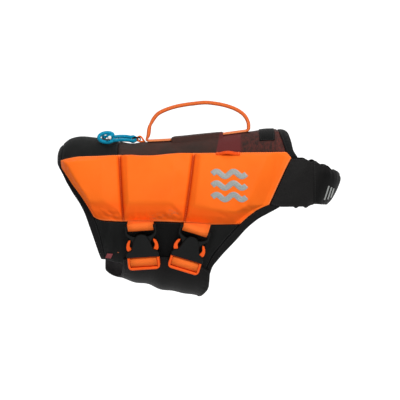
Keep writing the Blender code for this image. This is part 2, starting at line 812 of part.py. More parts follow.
def make_handle():
    """Webbing from foot to foot, folded narrow and thick at the grip."""
    half = HANDLE_WIDTH / 2
    across = np.linspace(-half, half, 5)
    xs, zs = (np.array(c) for c in zip(*HANDLE_LINE))
    along = lengths(np.stack([xs, zs], axis=1))
    at = np.linspace(0, along[-1], 29)
    arch_x, arch_z = (np.repeat(smooth(at, along, c)[:, None], 5, 1) for c in (xs, zs))
    fold = np.sin(at / along[-1] * math.pi) ** 0.55
    width = 1 - fold * (1 - HANDLE_STITCHED)
    arch = np.stack([arch_x, -across[None, :] * width[:, None], arch_z], axis=-1)
    feet = [
        spine_point(np.linspace(*foot, 5)[:, None], across[None, :], CLOTH + LAYER_GAP)
        for foot in (HANDLE_REAR_FOOT, HANDLE_FRONT_FOOT)
    ]
    flat = np.full(5, HANDLE_THICK)
    folded = HANDLE_THICK + fold**0.6 * (HANDLE_GRIP_THICK - HANDLE_THICK)
    thick = np.concatenate([flat, folded, flat])
    ribbon("handle", np.concatenate([feet[0], arch, feet[1]]), thick, "webbing_orange")


def ribbon(name, grid, thick, finish):
    """A band along its own line: its wall stands on the band's left, row by row."""
    along = np.gradient(grid.mean(axis=1), axis=0)
    across = grid[:, -1] - grid[:, 0]
    normal = np.cross(along, across)
    normal /= np.linalg.norm(normal, axis=1, keepdims=True)
    outer = grid + (normal * np.asarray(thick)[:, None])[:, None]
    ring = np.concatenate([grid, outer[:, ::-1]], axis=1)
    loft(name, ring, finish)


def loft(name, rings, finish):
    """A closed body through rings of points, with its two ends filled."""
    count, around = rings.shape[:2]
    bm = bmesh.new()
    verts = [[bm.verts.new(p * MM) for p in ring] for ring in rings]
    for i in range(count - 1):
        for j in range(around):
            k = (j + 1) % around
            bm.faces.new((verts[i][j], verts[i + 1][j], verts[i + 1][k], verts[i][k]))
    half = around // 2
    for ring in (verts[0], verts[-1]):
        for j in range(half - 1):
            bm.faces.new((ring[j], ring[j + 1], ring[around - 2 - j], ring[around - 1 - j]))
    bmesh.ops.recalc_face_normals(bm, faces=bm.faces)
    mesh = bpy.data.meshes.new(name)
    bm.to_mesh(mesh)
    bm.free()
    mesh.shade_smooth()
    return add(name, mesh, finish)


def make_sleeve():
    """The cover over the middle of the handle's webbing, sewn down at its sides."""
    across = np.linspace(-SLEEVE_HALF, SLEEVE_HALF, 9)
    lift = CLOTH + LAYER_GAP + (HANDLE_THICK + LAYER_GAP + 0.2) * ramp(
        SLEEVE_HALF - np.abs(across), SLEEVE_HALF - HANDLE_WIDTH / 2 - 1.0
    )
    x = np.linspace(*SLEEVE, 11)
    grid = spine_point(x[:, None], across[None, :], lift[None, :])
    sheet("handle_sleeve", grid, SLEEVE_THICK, "back_print")


def make_label():
    start, end, half = LABEL
    across = np.linspace(-half, half, 13)
    x = np.linspace(start, end, 4)
    grid = spine_point(x[:, None], across[None, :], CLOTH + LAYER_GAP)
    sheet("back_label", grid, LABEL_THICK, "tape_black")


def make_ring_loop():
    """A short webbing loop behind the handle that holds the ring."""
    x, z = (np.array(c) for c in zip(*RING_LOOP_LINE))
    along = lengths(np.stack([x, z], axis=1))
    at = np.linspace(0, along[-1], 17)
    line = np.stack([smooth(at, along, x), np.zeros_like(at), smooth(at, along, z)], axis=-1)
    side = np.array([0.0, RING_LOOP_WIDTH / 2, 0.0])
    grid = np.stack([line - side, line + side], axis=1)
    ribbon("ring_loop", grid, np.full(len(at), RING_LOOP_THICK), "webbing_orange")


def make_ring():
    """An oval wire ring, level, through the loop and the cord."""
    middle, reach = (RING_REAR + RING_FRONT) / 2, (RING_FRONT - RING_REAR) / 2
    turn = np.linspace(0, 2 * math.pi, 20, endpoint=False)
    x = middle + reach * np.sign(np.cos(turn)) * np.abs(np.cos(turn)) ** RING_SQUARENESS
    half = RING_HALF * np.sign(np.sin(turn)) * np.abs(np.sin(turn)) ** RING_SQUARENESS
    lean = math.radians(RING_TILT)
    line = np.stack([x, half * math.cos(lean), RING_LEVEL - half * math.sin(lean)], axis=-1)
    tube("ring", line, RING_WIRE, "plastic_black", sides=1, closed=True)


def knot_frame():
    """The knot's middle on the back, and its axes: forward, up and outwards."""
    sine, cosine = math.sin(math.radians(KNOT_LEAN)), math.cos(math.radians(KNOT_LEAN))
    axes = np.array([[1.0, 0.0, 0.0], [0.0, sine, cosine], [0.0, -cosine, sine]])
    return np.array(KNOT_PLACE), axes


def cord_line(upper):
    """A strand's points, from the bight in the ring to the knot."""
    lift = RING_WIRE / 2 + CORD / 2 + 0.3
    side = lift if upper else -lift
    lean = math.radians(RING_TILT)
    bight = [
        (
            RING_REAR + lift * math.cos(a),
            side * math.sin(a) * math.sin(lean),
            RING_LEVEL + side * math.sin(a) * math.cos(lean),
        )
        for a in np.radians(BIGHT_TURNS)
    ]
    rows = np.array(bight + list(STRANDS[upper]))
    along = lengths(rows)
    last = len(bight) - 1
    at = np.concatenate([along[:last], np.linspace(along[last], along[-1], 12)])
    return np.stack([smooth(at, along, rows[:, k]) for k in range(3)], axis=1)


def make_cord():
    tube("cord_upper", cord_line(True), CORD, "cord_blue")
    tube("cord_lower", cord_line(False), CORD, "cord_blue")
    # The doubled cord's overhand knot: a trefoil with a lobe towards the strands.
    turn = np.linspace(0, 2 * math.pi, 33, endpoint=False)
    reach = (np.array(KNOT_HALF) - KNOT_CORD / 2) / np.array(KNOT_REACH)
    lean = math.radians(KNOT_TURN)
    a = np.sin(turn) + 2 * np.sin(2 * turn)
    b = np.cos(turn) - 2 * np.cos(2 * turn)
    flat = np.stack(
        [
            reach[0] * (a * math.cos(lean) + b * math.sin(lean)),
            reach[1] * (b * math.cos(lean) - a * math.sin(lean)),
            -reach[2] * np.sin(3 * turn),
        ],
        axis=-1,
    )
    middle, axes = knot_frame()
    tube("cord_knot", middle + flat @ axes, KNOT_CORD, "cord_blue", sides=1, closed=True)


def make_lash_loops():
    """A short webbing loop on each side, sewn down at its ends and slack between."""
    x = np.linspace(*LASH, 13)
    patch, wall = float_patch()
    places, walls = [], []
    for share in np.linspace(*LASH_SHARES, 3):
        row = [np.array([np.interp(share, FLOAT_ROWS, c) for c in field])
               for field in (patch[..., 0], patch[..., 1], wall)]
        places.append(np.stack([x, np.interp(x, row[0], row[1])], axis=-1))
        walls.append(np.interp(x, row[0], row[2]))
    slack = bump(x, sum(LASH) / 2, (LASH[1] - LASH[0]) / 2 - 4.0)[:, None]
    lift = np.stack(walls, axis=1) + LAYER_GAP + LASH_RISE * slack
    pair("lash_loop", on_body(np.stack(places, axis=1), lift), LASH_THICK, "webbing_orange")


def make_side_tab():
    """A small folded tab at the near flap's lower rear corner."""
    xs, zs = np.meshgrid(np.linspace(*TAB_X, 4), np.linspace(*TAB_Z, 4), indexing="ij")
    grid = body(xs, angle_at(xs, zs), CLOTH + LAYER_GAP)
    sheet("side_tab", grid, TAB_THICK, "tab_red")


# ---------------------------------------------------------------- buckles
# A buckle is drawn flat, in millimetres: u across it, v up it and w outwards.


def mirror_outline(half):
    """A closed outline from its right half, listed from the bottom to the top."""
    return list(half) + [(-u, v) for u, v in reversed(half) if abs(u) > 1e-6]


def box_outline(half_width, low, high):
    return mirror_outline([(half_width, low), (half_width, high)])


BELL = mirror_outline(
    [
        (22.9, -10.3),
        (22.7, -4.6),
        (21.6, -1.9),
        (18.4, -0.3),
        (15.6, 0.6),
        (14.6, 3.0),
        (13.2, 7.4),
        (11.6, 12.4),
        (9.6, 17.0),
        (7.4, 20.4),
        (5.0, 22.4),
        (0.0, 23.2),
    ]
)
EARS = mirror_outline(
    [(11.0, 8.0), (13.2, 12.4), (16.4, 17.0), (20.6, 21.0), (21.9, 24.6), (21.9, 35.4)]
)
WEB_SLOT = mirror_outline([(9.4, 19.2), (12.4, 20.0), (16.6, 22.2), (19.3, 25.2), (19.5, 30.2)])
POCKET = box_outline(21.0, -12.0, 1.8)
ARM = (
    (18.5, -10.2),
    (18.6, -13.0),
    (20.8, -13.0),
    (20.5, -4.4),
    (20.5, -1.8),
    (22.2, 0.8),
    (22.4, 5.0),
    (21.2, 9.6),
    (18.6, 13.6),
    (16.0, 14.2),
    (16.2, 11.6),
    (17.6, 8.0),
    (17.6, 5.0),
    (16.0, 2.4),
    (15.2, -1.0),
    (14.4, -5.0),
)
ARMS = list(ARM) + [(-u, v) for u, v in reversed(ARM)]
BASE_HALF, BASE_TOP, BASE_LOW, BASE_CORNER = 22.3, -10.8, -28.7, 5.5
WINDOW_HALF, WINDOW_LOW = 18.9, -25.0
BAR_LEVEL = -17.8
BAR = box_outline(20.4, BAR_LEVEL - 3.2, BAR_LEVEL + 3.2)
TOP_BAR_LEVEL = 32.8
TAB_CLEAR = 1.5  # below the float's lower seam
TAB_RADIUS = 4.3  # of the webbing round the female half's bar
STRAP_RADIUS, STRAP_HEIGHT = 5.2, -1.6  # of the webbing over the male half's bar
STRAP_FEET = (-11.0, -12.7, -23.0, -27.6)
TAB_NARROWS, STRAP_NARROWS = ((34.0, 0.935), (44.0, 1.0)), ((-30.0, 0.955), (0.0, 0.955))


def base_outline():
    """The male half's frame: open above, where the prongs close it, and rounded below."""
    middle = (BASE_HALF - BASE_CORNER, BASE_LOW + BASE_CORNER)
    corner = [
        (middle[0] + BASE_CORNER * math.cos(a), middle[1] - BASE_CORNER * math.sin(a))
        for a in np.radians((90, 60, 30, 0))
    ]
    window = [(BASE_HALF, BASE_TOP), (WINDOW_HALF, BASE_TOP), (WINDOW_HALF, WINDOW_LOW)]
    return mirror_outline(corner + window)


def buckle_frame(place):
    """Where a buckle lies, as a matrix from (u, v, w)."""
    x, z, lean = place
    angle = angle_at(x, z)
    normal = Vector(outward(np.array(x), angle))
    up = Vector((0, 0, 1)) - normal * normal.z
    up.normalize()
    up.rotate(Matrix.Rotation(math.radians(lean), 3, -normal))
    across = up.cross(normal)
    rest = Vector(bare_body(np.array(x), angle))
    origin = rest + normal * BUCKLE_LIFT - up * BUCKLE_REST
    turn = Matrix((across, up, normal)).transposed().to_4x4()
    return Matrix.Translation(origin * MM) @ turn


def in_frame(frame, u, v, w):
    return np.array(frame @ Vector((u * MM, v * MM, w * MM))) / MM


def skin(frame, u, v, off):
    """The height in the buckle's frame of a layer that lies off the body."""
    w = 0.0
    normal = np.array(frame.col[2][:3])
    for _ in range(8):
        point = in_frame(frame, u, v, w)
        middle = float(section(point[0])[0])
        angle = math.degrees(math.atan2(-point[1], point[2] - middle))
        surface = body(point[0], angle, off)
        out = outward(point[0], angle)
        w -= float(np.dot(point - surface, out) / np.dot(normal, out))
    return w


def make_female(name, frame):
    """The bell, open below and at its sides, with the webbing's bar above it."""
    obj = add(name, plate(name, [BELL], 5.2, 1.4), "plastic_black")
    ears = helper(name + "_ears", plate(name + "_ears", [EARS, WEB_SLOT], 2.8, 0.7))
    combine(obj, ears, "UNION")
    pocket = helper(name + "_pocket", plate(name + "_pocket", [POCKET], 2.7, 0.3, 0))
    combine(obj, pocket, "DIFFERENCE")
    for piece in (obj, ears, pocket):
        piece.matrix_world = frame


def make_male(name, frame):
    """Two prongs on a frame with a bar for the webbing."""
    obj = add(name, plate(name, [base_outline()], 4.4, 1.2), "plastic_orange")
    arms = helper(name + "_arms", plate(name + "_arms", [ARMS], 2.1, 0.5, 0))
    combine(obj, arms, "UNION")
    bar = helper(name + "_bar", plate(name + "_bar", [BAR], 2.2, 1.0))
    combine(obj, bar, "UNION")
    for piece in (obj, arms, bar):
        piece.matrix_world = frame


def wrap(level, height, radius, start, end, count):
    """Points (v, w) of an arc round a bar, in degrees from +v to +w."""
    turns = np.radians(np.linspace(start, end, count))
    return [(level + radius * math.cos(a), height + radius * math.sin(a)) for a in turns]


def tangent(point, level, radius, side):
    """The angle on a bar at level where webbing from a point (v, w) meets it."""
    v, w = point[0] - level, point[1]
    reach = math.degrees(math.acos(min(1.0, radius / math.hypot(v, w))))
    return math.degrees(math.atan2(w, v)) + side * reach


def band(name, frame, line, narrows):
    """Buckle webbing along line(u), which gives rows of (v, w) at a place across it.

    narrows has rows of v and the share of the webbing's width there.
    """
    places = np.linspace(-WEB_HALF, WEB_HALF, 5)
    lines = [line(u) for u in places]
    rows = [
        [in_frame(frame, u * np.interp(v, *zip(*narrows)), v, w) for u, (v, w) in zip(places, points)]
        for points in zip(*lines)
    ]
    ribbon(name, np.array(rows), np.full(len(rows), WEBBING), "webbing_orange")


def seam_level(frame, u):
    """How far up the buckle's frame the float's lower seam lies."""
    v = 44.0
    for _ in range(6):
        point = in_frame(frame, u, v, skin(frame, u, v, CLOTH))
        seam = bare_body(*line_at(FLOAT_BOTTOM)(point[0]))
        v += float(seam[2] - TAB_CLEAR - point[2]) / (frame.col[1][2])
    return v


def make_tab(name, frame):
    """The webbing that leaves the float's lower seam and turns round the top bar."""

    def line(u):
        top = seam_level(frame, u)
        back = skin(frame, u, top, CLOTH + LAYER_GAP + WEBBING)
        front = back + 0.3
        start = tangent((top, front), TOP_BAR_LEVEL, TAB_RADIUS, 1)
        end = tangent((top, back), TOP_BAR_LEVEL, TAB_RADIUS, -1) + 360
        turn = wrap(TOP_BAR_LEVEL, 0.0, TAB_RADIUS, start, end, 10)
        return [(top, front)] + turn + [(top, back)]

    band(name, frame, line, TAB_NARROWS)


def make_strap(name, frame):
    """The webbing sewn to the belly panel that passes over the male half's bar."""
    lift = BELLY_LIFT + NEOPRENE + LAYER_GAP
    turn = wrap(BAR_LEVEL, STRAP_HEIGHT, STRAP_RADIUS, 0, 180, 9)

    def line(u):
        feet = [(v, skin(frame, u, v, lift)) for v in STRAP_FEET]
        return feet[:2] + turn + feet[2:]

    band(name, frame, line, STRAP_NARROWS)


def make_buckles():
    for number, place in enumerate(BUCKLES, 1):
        frame = buckle_frame(place)
        make_female(f"buckle_{number}_female", frame)
        make_male(f"buckle_{number}_male", frame)
        make_tab(f"buckle_{number}_tab", frame)
        make_strap(f"buckle_{number}_strap", frame)


# ---------------------------------------------------------------- the jacket


def clear_scene():
    for obj in list(bpy.data.objects):
        bpy.data.objects.remove(obj)


def collection(name):
    made = bpy.data.collections.new(name)
    bpy.context.scene.collection.children.link(made)
    return made


clear_scene()
JACKET = collection("dog_life_jacket")
HELPERS = collection("helpers")
make_back()
make_floats()
make_flaps()
make_tapes()
make_collar()
make_belly()
make_handle()
make_sleeve()
make_label()
make_ring_loop()
make_ring()
make_cord()
make_lash_loops()
make_side_tab()
make_buckles()
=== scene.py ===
"""Looks of the dog life jacket: its cloth, foam, webbing, cord and buckles, closely made.

The frame is the part's own, +Z up and +X towards the dog's head, with the near side
facing -Y. Sizes are in millimetres until a mesh is made. The tables of the figure and
its seams are the part's, so that every finer shell lies where its solid does.
"""

import json
import math

import bpy
import numpy as np
from mathutils import Matrix, Vector
from mathutils.bvhtree import BVHTree

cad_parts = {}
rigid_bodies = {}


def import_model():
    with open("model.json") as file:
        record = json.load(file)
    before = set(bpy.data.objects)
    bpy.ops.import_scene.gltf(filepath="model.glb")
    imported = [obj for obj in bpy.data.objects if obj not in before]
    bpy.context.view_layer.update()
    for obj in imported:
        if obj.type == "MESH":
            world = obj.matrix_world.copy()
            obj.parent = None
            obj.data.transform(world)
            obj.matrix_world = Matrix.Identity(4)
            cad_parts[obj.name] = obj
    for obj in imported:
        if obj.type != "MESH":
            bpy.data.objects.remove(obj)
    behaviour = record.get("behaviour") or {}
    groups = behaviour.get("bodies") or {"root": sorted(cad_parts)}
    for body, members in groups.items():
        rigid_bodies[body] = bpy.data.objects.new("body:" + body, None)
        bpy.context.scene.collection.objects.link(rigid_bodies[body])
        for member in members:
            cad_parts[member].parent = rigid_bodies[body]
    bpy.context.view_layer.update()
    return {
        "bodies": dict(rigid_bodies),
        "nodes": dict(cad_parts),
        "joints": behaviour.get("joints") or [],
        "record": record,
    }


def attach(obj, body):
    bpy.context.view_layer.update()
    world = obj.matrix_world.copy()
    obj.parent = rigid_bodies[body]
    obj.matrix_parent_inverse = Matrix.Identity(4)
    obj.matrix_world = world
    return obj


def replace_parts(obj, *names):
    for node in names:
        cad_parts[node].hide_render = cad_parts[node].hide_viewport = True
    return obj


MM = 0.001
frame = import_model()

# ---------------------------------------------------------------- the camera

CAMERA_AIM = Vector((0.042, 0.0, -0.0826))
CAMERA_DISTANCE = 4.0
CAMERA_ELEVATION = 2.0
VIEW_HALF_WIDTH = 0.28  # what half the frame shows, in the plane of the near side
NEAR_PLANE = 0.045  # how far that plane is in front of the spine


def placed(name, data):
    """A new object in the scene."""
    obj = bpy.data.objects.new(name, data)
    bpy.context.scene.collection.objects.link(obj)
    return obj


def make_camera():
    lens = bpy.data.cameras.new("camera")
    lens.angle = 2 * math.atan(VIEW_HALF_WIDTH / (CAMERA_DISTANCE - NEAR_PLANE))
    camera = placed("camera", lens)
    lift = math.radians(CAMERA_ELEVATION)
    back = Vector((0.0, -math.cos(lift), math.sin(lift)))
    camera.location = CAMERA_AIM + back * CAMERA_DISTANCE
    camera.rotation_euler = (-back).to_track_quat("-Z", "Y").to_euler()
    bpy.context.scene.camera = camera


make_camera()

# ---------------------------------------------------------------- driving dimensions

SEAM_GAP = 0.4  # between two panels along a seam
LAYER_GAP = 0.35  # between two layers that lie on each other
CLOTH = 2.0  # two-ply shell cloth of the back and the flaps
NEOPRENE = 2.4  # collar and belly panel
TAPE = 2.8  # folded edge tape
FOAM = 17.0  # a foam slab in its cover
FOAM_SEAM = 3.6  # the cover where it is sewn down
FOAM_GROOVE = 4.3  # the cover at the stitch line between two slabs
WEBBING_WIDTH = 38.0  # buckle webbing
WEBBING = 1.6
HANDLE_WIDTH = 25.0
HANDLE_THICK = 3.0
CORD = 5.0
RING_WIRE = 1.9
ROUNDNESS = 2.2  # exponent of the body's sections, 2 for an ellipse
AXIS_LEVEL = -90.0  # a level well inside the body, from which its panels face outwards
NEARBY = 0.6  # a small step along x or round the body, in mm and degrees

# Folds of the flanks: x, half their width and height, and where they are round the body.
FLANK_FOLDS = ((-84.0, 11.0, 2.2), (66.0, 10.0, 1.5), (-56.0, 12.0, -1.2))
FLANK_ANGLE, FLANK_SPREAD = 122.0, 26.0
# Sags of the belly: x, a wave's length, its slant (0 for none) and height, and their angles.
BELLY_SAGS = ((-20.0, 9.5, 0.0, 1.2), (8.0, 5.3, 31.0, 0.9))
BELLY_FROM, BELLY_FADE = 128.0, 30.0

BACK_ROWS = 6  # rows of points on half the back
FLAP_ROWS = 5

# The general figure inside the jacket, a column of sections along the back: x, crown,
# keel and half width.
SECTIONS = (
    (-160.0, -30.0, -150.0, 44.0), (-154.0, -11.2, -153.0, 51.0), (-147.0, -2.4, -156.0, 57.0),
    (-138.0, 3.4, -160.0, 62.0), (-124.0, 6.0, -166.0, 67.0), (-100.0, 3.6, -175.8, 71.0),
    (-72.0, -1.5, -185.0, 73.5), (-54.0, -4.4, -191.6, 74.8), (-40.0, -2.9, -195.8, 75.4),
    (-20.0, -1.9, -200.4, 76.0), (10.0, -0.2, -207.2, 76.5), (42.0, 3.6, -213.4, 76.5),
    (80.0, 8.2, -209.0, 75.0), (112.0, 12.4, -200.0, 73.5), (140.0, 15.8, -190.0, 71.5),
    (152.0, 15.6, -184.0, 70.5), (160.0, 14.0, -180.0, 69.5), (168.0, 9.0, -176.0, 69.0),
    (180.0, -4.0, -170.0, 68.0),
)

# Seams and edges as seen from the side: x and z. None stands for the spine line.
REAR_EDGE = (
    (-158.0, None), (-156.8, -31.0), (-154.0, -37.0), (-149.8, -43.5), (-143.0, -57.4),
    (-134.6, -71.4), (-125.2, -85.4), (-118.2, -99.4), (-113.2, -113.4), (-108.4, -127.4),
    (-103.8, -141.4), (-99.8, -155.4), (-97.0, -164.0),
)
REAR_SEAM = (
    (-150.0, None), (-151.2, -26.6), (-150.0, -36.0), (-145.4, -43.4), (-136.0, -57.4),
    (-125.4, -71.4), (-116.0, -85.4), (-107.6, -99.4), (-105.9, -103.2), (-99.4, -120.4),
    (-94.0, -142.0), (-90.0, -165.0),
)
FLOAT_TOP = (
    (-151.2, -26.6), (-141.4, -23.8), (-124.6, -21.2), (-99.4, -20.6), (-74.2, -19.8),
    (-32.2, -20.4), (18.2, -17.0), (51.8, -16.6), (110.6, -15.4), (161.8, -14.6),
)
FLOAT_BOTTOM = (
    (-105.9, -103.2), (-98.5, -107.2), (-90.0, -108.8), (-63.0, -110.0), (-21.0, -109.8),
    (20.0, -111.4), (56.0, -114.2), (97.3, -113.6),
)
FLOAT_FRONT = (
    (161.8, -14.6), (169.1, -23.1), (138.2, -86.4), (130.0, -89.6), (121.5, -93.6),
    (109.5, -102.4), (97.3, -113.6),
)
# Where the rows of the float lie, as shares of its height, and its columns in a cell.
FLOAT_ROWS = (0.0, 0.05, 0.13, 0.24, 0.38, 0.52, 0.66, 0.76, 0.82, 0.91, 1.0)
CELL_COLUMNS = (0.0, 0.06, 0.14, 0.28, 0.46, 0.64, 0.8, 0.92, 1.0)
COLLAR_TOP_ROW, COLLAR_BOTTOM_ROW = 1, 6  # the float's rows at the collar's corners
FLAT_FRONT = (0.0, 0.0, 6.0)  # the cover alone, ahead of the last slab
FLAP_FRONT = (
    (97.3, -113.6), (77.4, -134.8), (61.0, -154.8), (52.0, -172.9), (48.0, -184.0),
)
FLAP_BOTTOM = (
    (-90.0, -165.0), (-63.0, -168.0), (0.0, -170.5), (30.0, -177.0), (48.0, -184.0),
)
LEG_EDGE = (
    (152.6, -90.1), (136.6, -98.8), (123.8, -105.8), (106.8, -119.6), (94.2, -133.6),
    (80.2, -148.6), (67.6, -162.2), (59.2, -173.4), (55.0, -185.4),
)
NECK_SEAM = (
    (151.0, None), (154.0, 10.0), (158.1, -2.5), (161.9, -13.0), (169.2, -22.4),
)
NECK_EDGE = (
    (165.0, None), (167.8, 5.4), (170.0, -2.0), (172.4, -12.7), (177.8, -21.4),
)
BACK_JOIN = -72.8  # where the plain rear cloth meets the printed front cloth
GROOVE_TOPS = (-71.4, 34.3)
GROOVE_BOTTOMS = (-63.7, 20.3)

# The collar: its seam on the body, then its front, as the share of the way from its top
# edge to the bottom one, x and z.
COLLAR_SEAM = ((169.4, -23.6), (138.5, -86.1))
COLLAR_FRONT = (
    (0.0, 232.4, -46.6), (0.15, 235.8, -52.0), (0.4, 232.6, -62.6), (0.7, 226.6, -74.6),
    (0.9, 220.6, -82.4), (1.0, 214.6, -85.2),
)
COLLAR_JOIN = 199.0  # where the front strap laps over the wing
COLLAR_LAP, LAP_FADE = 13.0, 11.0  # how wide the lap is, and its soft edge
COLLAR_SHADE = ((0.0, 0.0), (4.0, 0.2), (11.0, 1.0))  # how dark it is below its top edge
COLLAR_DROPS = ((138.5, 0.0), (147.0, 3.2), (158.0, 3.6), (188.0, 3.6), (201.0, 0.0))  # x, down
COLLAR_WAVE = (202.5, 14.4, 1.7)  # the top edge's waves: a crest's x, their length and height
WAVES_FROM, WAVES_RISE = 183.0, 14.0  # the x where they start, and how far they take to grow
COLLAR_TUFTS = (175.3, 189.0)  # where the bottom edge is bunched
COLLAR_ROUNDNESS, COLLAR_FALL = 0.96, 2.3  # exponents of its round and of its way down
# Rows of points by the collar's height: the wing has them all, the strap the inner ones.
COLLAR_ROWS = (0.0, 0.035, 0.15, 0.28, 0.42, 0.56, 0.7, 0.83, 0.955, 1.0)

# The belly panel: the angle round the body from the spine, and where its rear and front
# ends lie there.
BELLY_LIFT = TAPE + LAYER_GAP
BELLY_COUNTS = (141, 101)  # points round it and along it
BELLY_ENDS = (
    (120.0, -63.6, 56.5), (150.0, -65.0, 54.0), (166.0, -69.0, 47.0), (178.0, -83.0, 42.4),
    (190.0, -91.6, 43.5), (215.0, -92.6, 45.0), (240.0, -91.0, 47.0),
)
BELLY_NEAR = ((-66.0, -160.0), (-10.0, -158.0), (14.0, -160.5), (36.0, -168.0), (60.0, -180.0))
BELLY_FAR = ((-92.0, -158.0), (-10.0, -158.0), (30.0, -166.0), (60.0, -178.0))

# The handle's line from the side, foot to foot.
HANDLE_LINE = (
    (-35.0, 3.6), (-33.6, 10.0), (-33.0, 16.4), (-31.8, 21.4), (-29.9, 25.4), (-26.6, 32.6),
    (-19.0, 41.6), (-5.0, 48.6), (11.0, 53.2), (30.0, 56.2), (50.0, 58.0), (68.0, 56.0),
    (84.4, 52.0), (97.2, 46.4), (106.8, 38.8), (111.6, 30.6), (113.2, 24.0), (113.2, 18.6),
)
HANDLE_FEET = (38.0, 42.0)  # where its rear and front ends stop, under the sleeve
SLEEVE = (2.0, 75.0)  # the cover over the middle of the handle's webbing
SLEEVE_HALF = 21.0
SLEEVE_THICK, SLEEVE_PUCKER, SLEEVE_SLACK = 1.4, 0.25, 0.2
SLEEVE_SEWN = 2.0  # its flat edge on each side
SLEEVE_SLOPE = SLEEVE_HALF - HANDLE_WIDTH / 2 - 3.0  # from that edge to the top
SLEEVE_CROWN = ((2.0, -0.5), (8.0, 1.0), (40.0, 0.5), (68.0, -0.2), (75.0, -0.8))  # x, up
SUNK = 0.1  # how far a sewn edge sinks into what is under it
LABEL = (125.5, 146.5, 41.0)  # from, to, and half its width across the spine
LABEL_THICK = 0.8
TACK_X, TACK_Z = (-75.0, -68.0), -152.4  # a bar tack on the near flap
TAB_X, TAB_Z, TAB_THICK = (-88.6, -80.6), (-154.0, -161.0), 1.0  # the small side tab
TAB_SLANT = 0.45  # how far it leans forward, for each millimetre up

# The ring and its webbing loop, whose inner face is seen from the side from foot to end.
RING_LOOP_WIDTH, RING_LOOP_THICK = 3.6, 1.9
RING_LOOP_FULLNESS = 1.3  # how much thicker it looks than its solid, outwards
RING_LOOP_STEPS = 60
RING_LOOP_LINE = (
    (-39.9, 1.3), (-41.6, 1.3), (-43.4, 1.6), (-44.6, 2.8), (-44.9, 4.2), (-44.5, 5.6),
    (-43.3, 6.3), (-42.0, 5.7), (-40.4, 3.4), (-39.0, 1.4), (-38.4, 0.4),
)
RING_LOOP_ROOT = (-35.2, 1.4)
RING_REAR, RING_FRONT, RING_HALF, RING_LEVEL = -53.2, -42.6, 4.8, 3.6
RING_TILT = 32.0  # degrees, its near side up
RING_SQUARENESS = 0.62  # 1 for an ellipse, less for a squarer oval

# The pull cord, from the ring to its knot.
KNOT_PLACE, KNOT_LEAN = (-90.2, -31.6, 6.2), 30.0  # it leans back from upright
KNOT_HALF = (12.3, 8.7, 6.0)
KNOT_CORD = 5.2
KNOT_LOOP, KNOT_RISE = 0.5, 2.6  # its small loop inside the big one, and how far that one sits up
BIGHT_TURNS = (9.0, 18.0, 36.0, 62.0, 88.0)  # degrees round the ring's wire
STRANDS = {  # each strand's points from the ring on: the upper one, then the lower
    True: (
        (-55.5, 2.2, 6.2), (-62.0, -0.6, 7.3), (-69.5, -6.0, 7.5), (-75.0, -13.0, 7.2),
        (-78.0, -19.5, 7.0),
    ),
    False: (
        (-55.5, -4.0, 1.5), (-62.0, -7.2, 2.4), (-69.5, -12.4, 2.6), (-76.0, -20.0, 2.1),
        (-80.0, -26.4, 1.9),
    ),
}

# A light webbing loop on the seam over the front cell.
LASH = (64.5, 98.3)
LASH_SHARES = (0.008, 0.098)  # its two edges, by the float's height
LASH_RISE, LASH_THICK = 3.4, 1.3
LASH_SEWN = 4.0  # at each of its ends

BUCKLES = ((-38.0, -134.6, -4.0), (29.8, -138.7, 17.3))
BUCKLE_LIFT = 9.6  # from the body to the middle of the buckle
BUCKLE_REST = 12.0  # how far above its middle it lies flat on the body
WEB_HALF = WEBBING_WIDTH / 2
BAND_STEPS = 84
BAR_LEVEL = -17.8
TOP_BAR_LEVEL = 32.8
SEAM_GUESS = 44.0  # about how far up the float's lower seam is
TAB_CLEAR = 0.3  # below the float's lower seam
TAB_RADIUS = 4.3  # of the webbing round the female half's bar
TAB_PLY = 0.3  # between its two plies at the seam
STRAP_RADIUS, STRAP_HEIGHT = 5.35, -1.6  # of the webbing over the male half's bar
STRAP_FEET = (-11.0, -12.7, -23.0, -27.6)
TAB_NARROWS, STRAP_NARROWS = ((34.0, 0.935), (44.0, 1.0)), ((-30.0, 0.975), (0.0, 0.975))

# ---------------------------------------------------------------- numbers


def smooth(at, xs, ys):
    """A cubic through the rows of a table that never overshoots them."""
    xs, ys = np.asarray(xs, float), np.asarray(ys, float)
    at = np.clip(np.asarray(at, float), xs[0], xs[-1])
    gaps = np.diff(xs)
    slopes = np.diff(ys) / gaps
    before, after = slopes[:-1], slopes[1:]
    same = before * after > 0
    total = np.where(same, before + after, 1.0)
    middle = np.where(same, 2 * before * after / total, 0.0)
    tangents = np.concatenate([slopes[:1], middle, slopes[-1:]])
    i = np.clip(np.searchsorted(xs, at, side="right") - 1, 0, len(gaps) - 1)
    t = (at - xs[i]) / gaps[i]
    rise = t * t * (3 - 2 * t)
    lead = t * (1 - t) ** 2 * gaps[i] * tangents[i]
    tail = t * t * (t - 1) * gaps[i] * tangents[i + 1]
    return ys[i] * (1 - rise) + ys[i + 1] * rise + lead + tail


def table(at, rows):
    """The later columns of a table, read smoothly at places in its first one."""
    xs, *columns = zip(*rows)
    return [smooth(at, xs, ys) for ys in columns]


def stack(*fields):
    """Fields of numbers as one field of points."""
    return np.stack(fields, axis=-1)


def unit(vectors):
    return vectors / np.linalg.norm(vectors, axis=-1, keepdims=True)


def signed_power(values, power):
    return np.sign(values) * np.abs(values) ** power


def full_turn(count):
    return np.linspace(0, 2 * math.pi, count, endpoint=False)


def lengths(points):
    """Length along a row of points, from 0."""
    steps = np.linalg.norm(np.diff(points, axis=0), axis=1)
    return np.concatenate([[0.0], np.cumsum(steps)])


def smooth_line(points, at):
    """A smooth line through points, read at lengths along it."""
    points = np.asarray(points, float)
    along = lengths(points)
    return stack(*(smooth(at, along, values) for values in points.T))


def read_line(at, along, field):
    """A field that is known along a line, read straight at other places on it."""
    return stack(*(np.interp(at, along, values) for values in np.asarray(field).T))


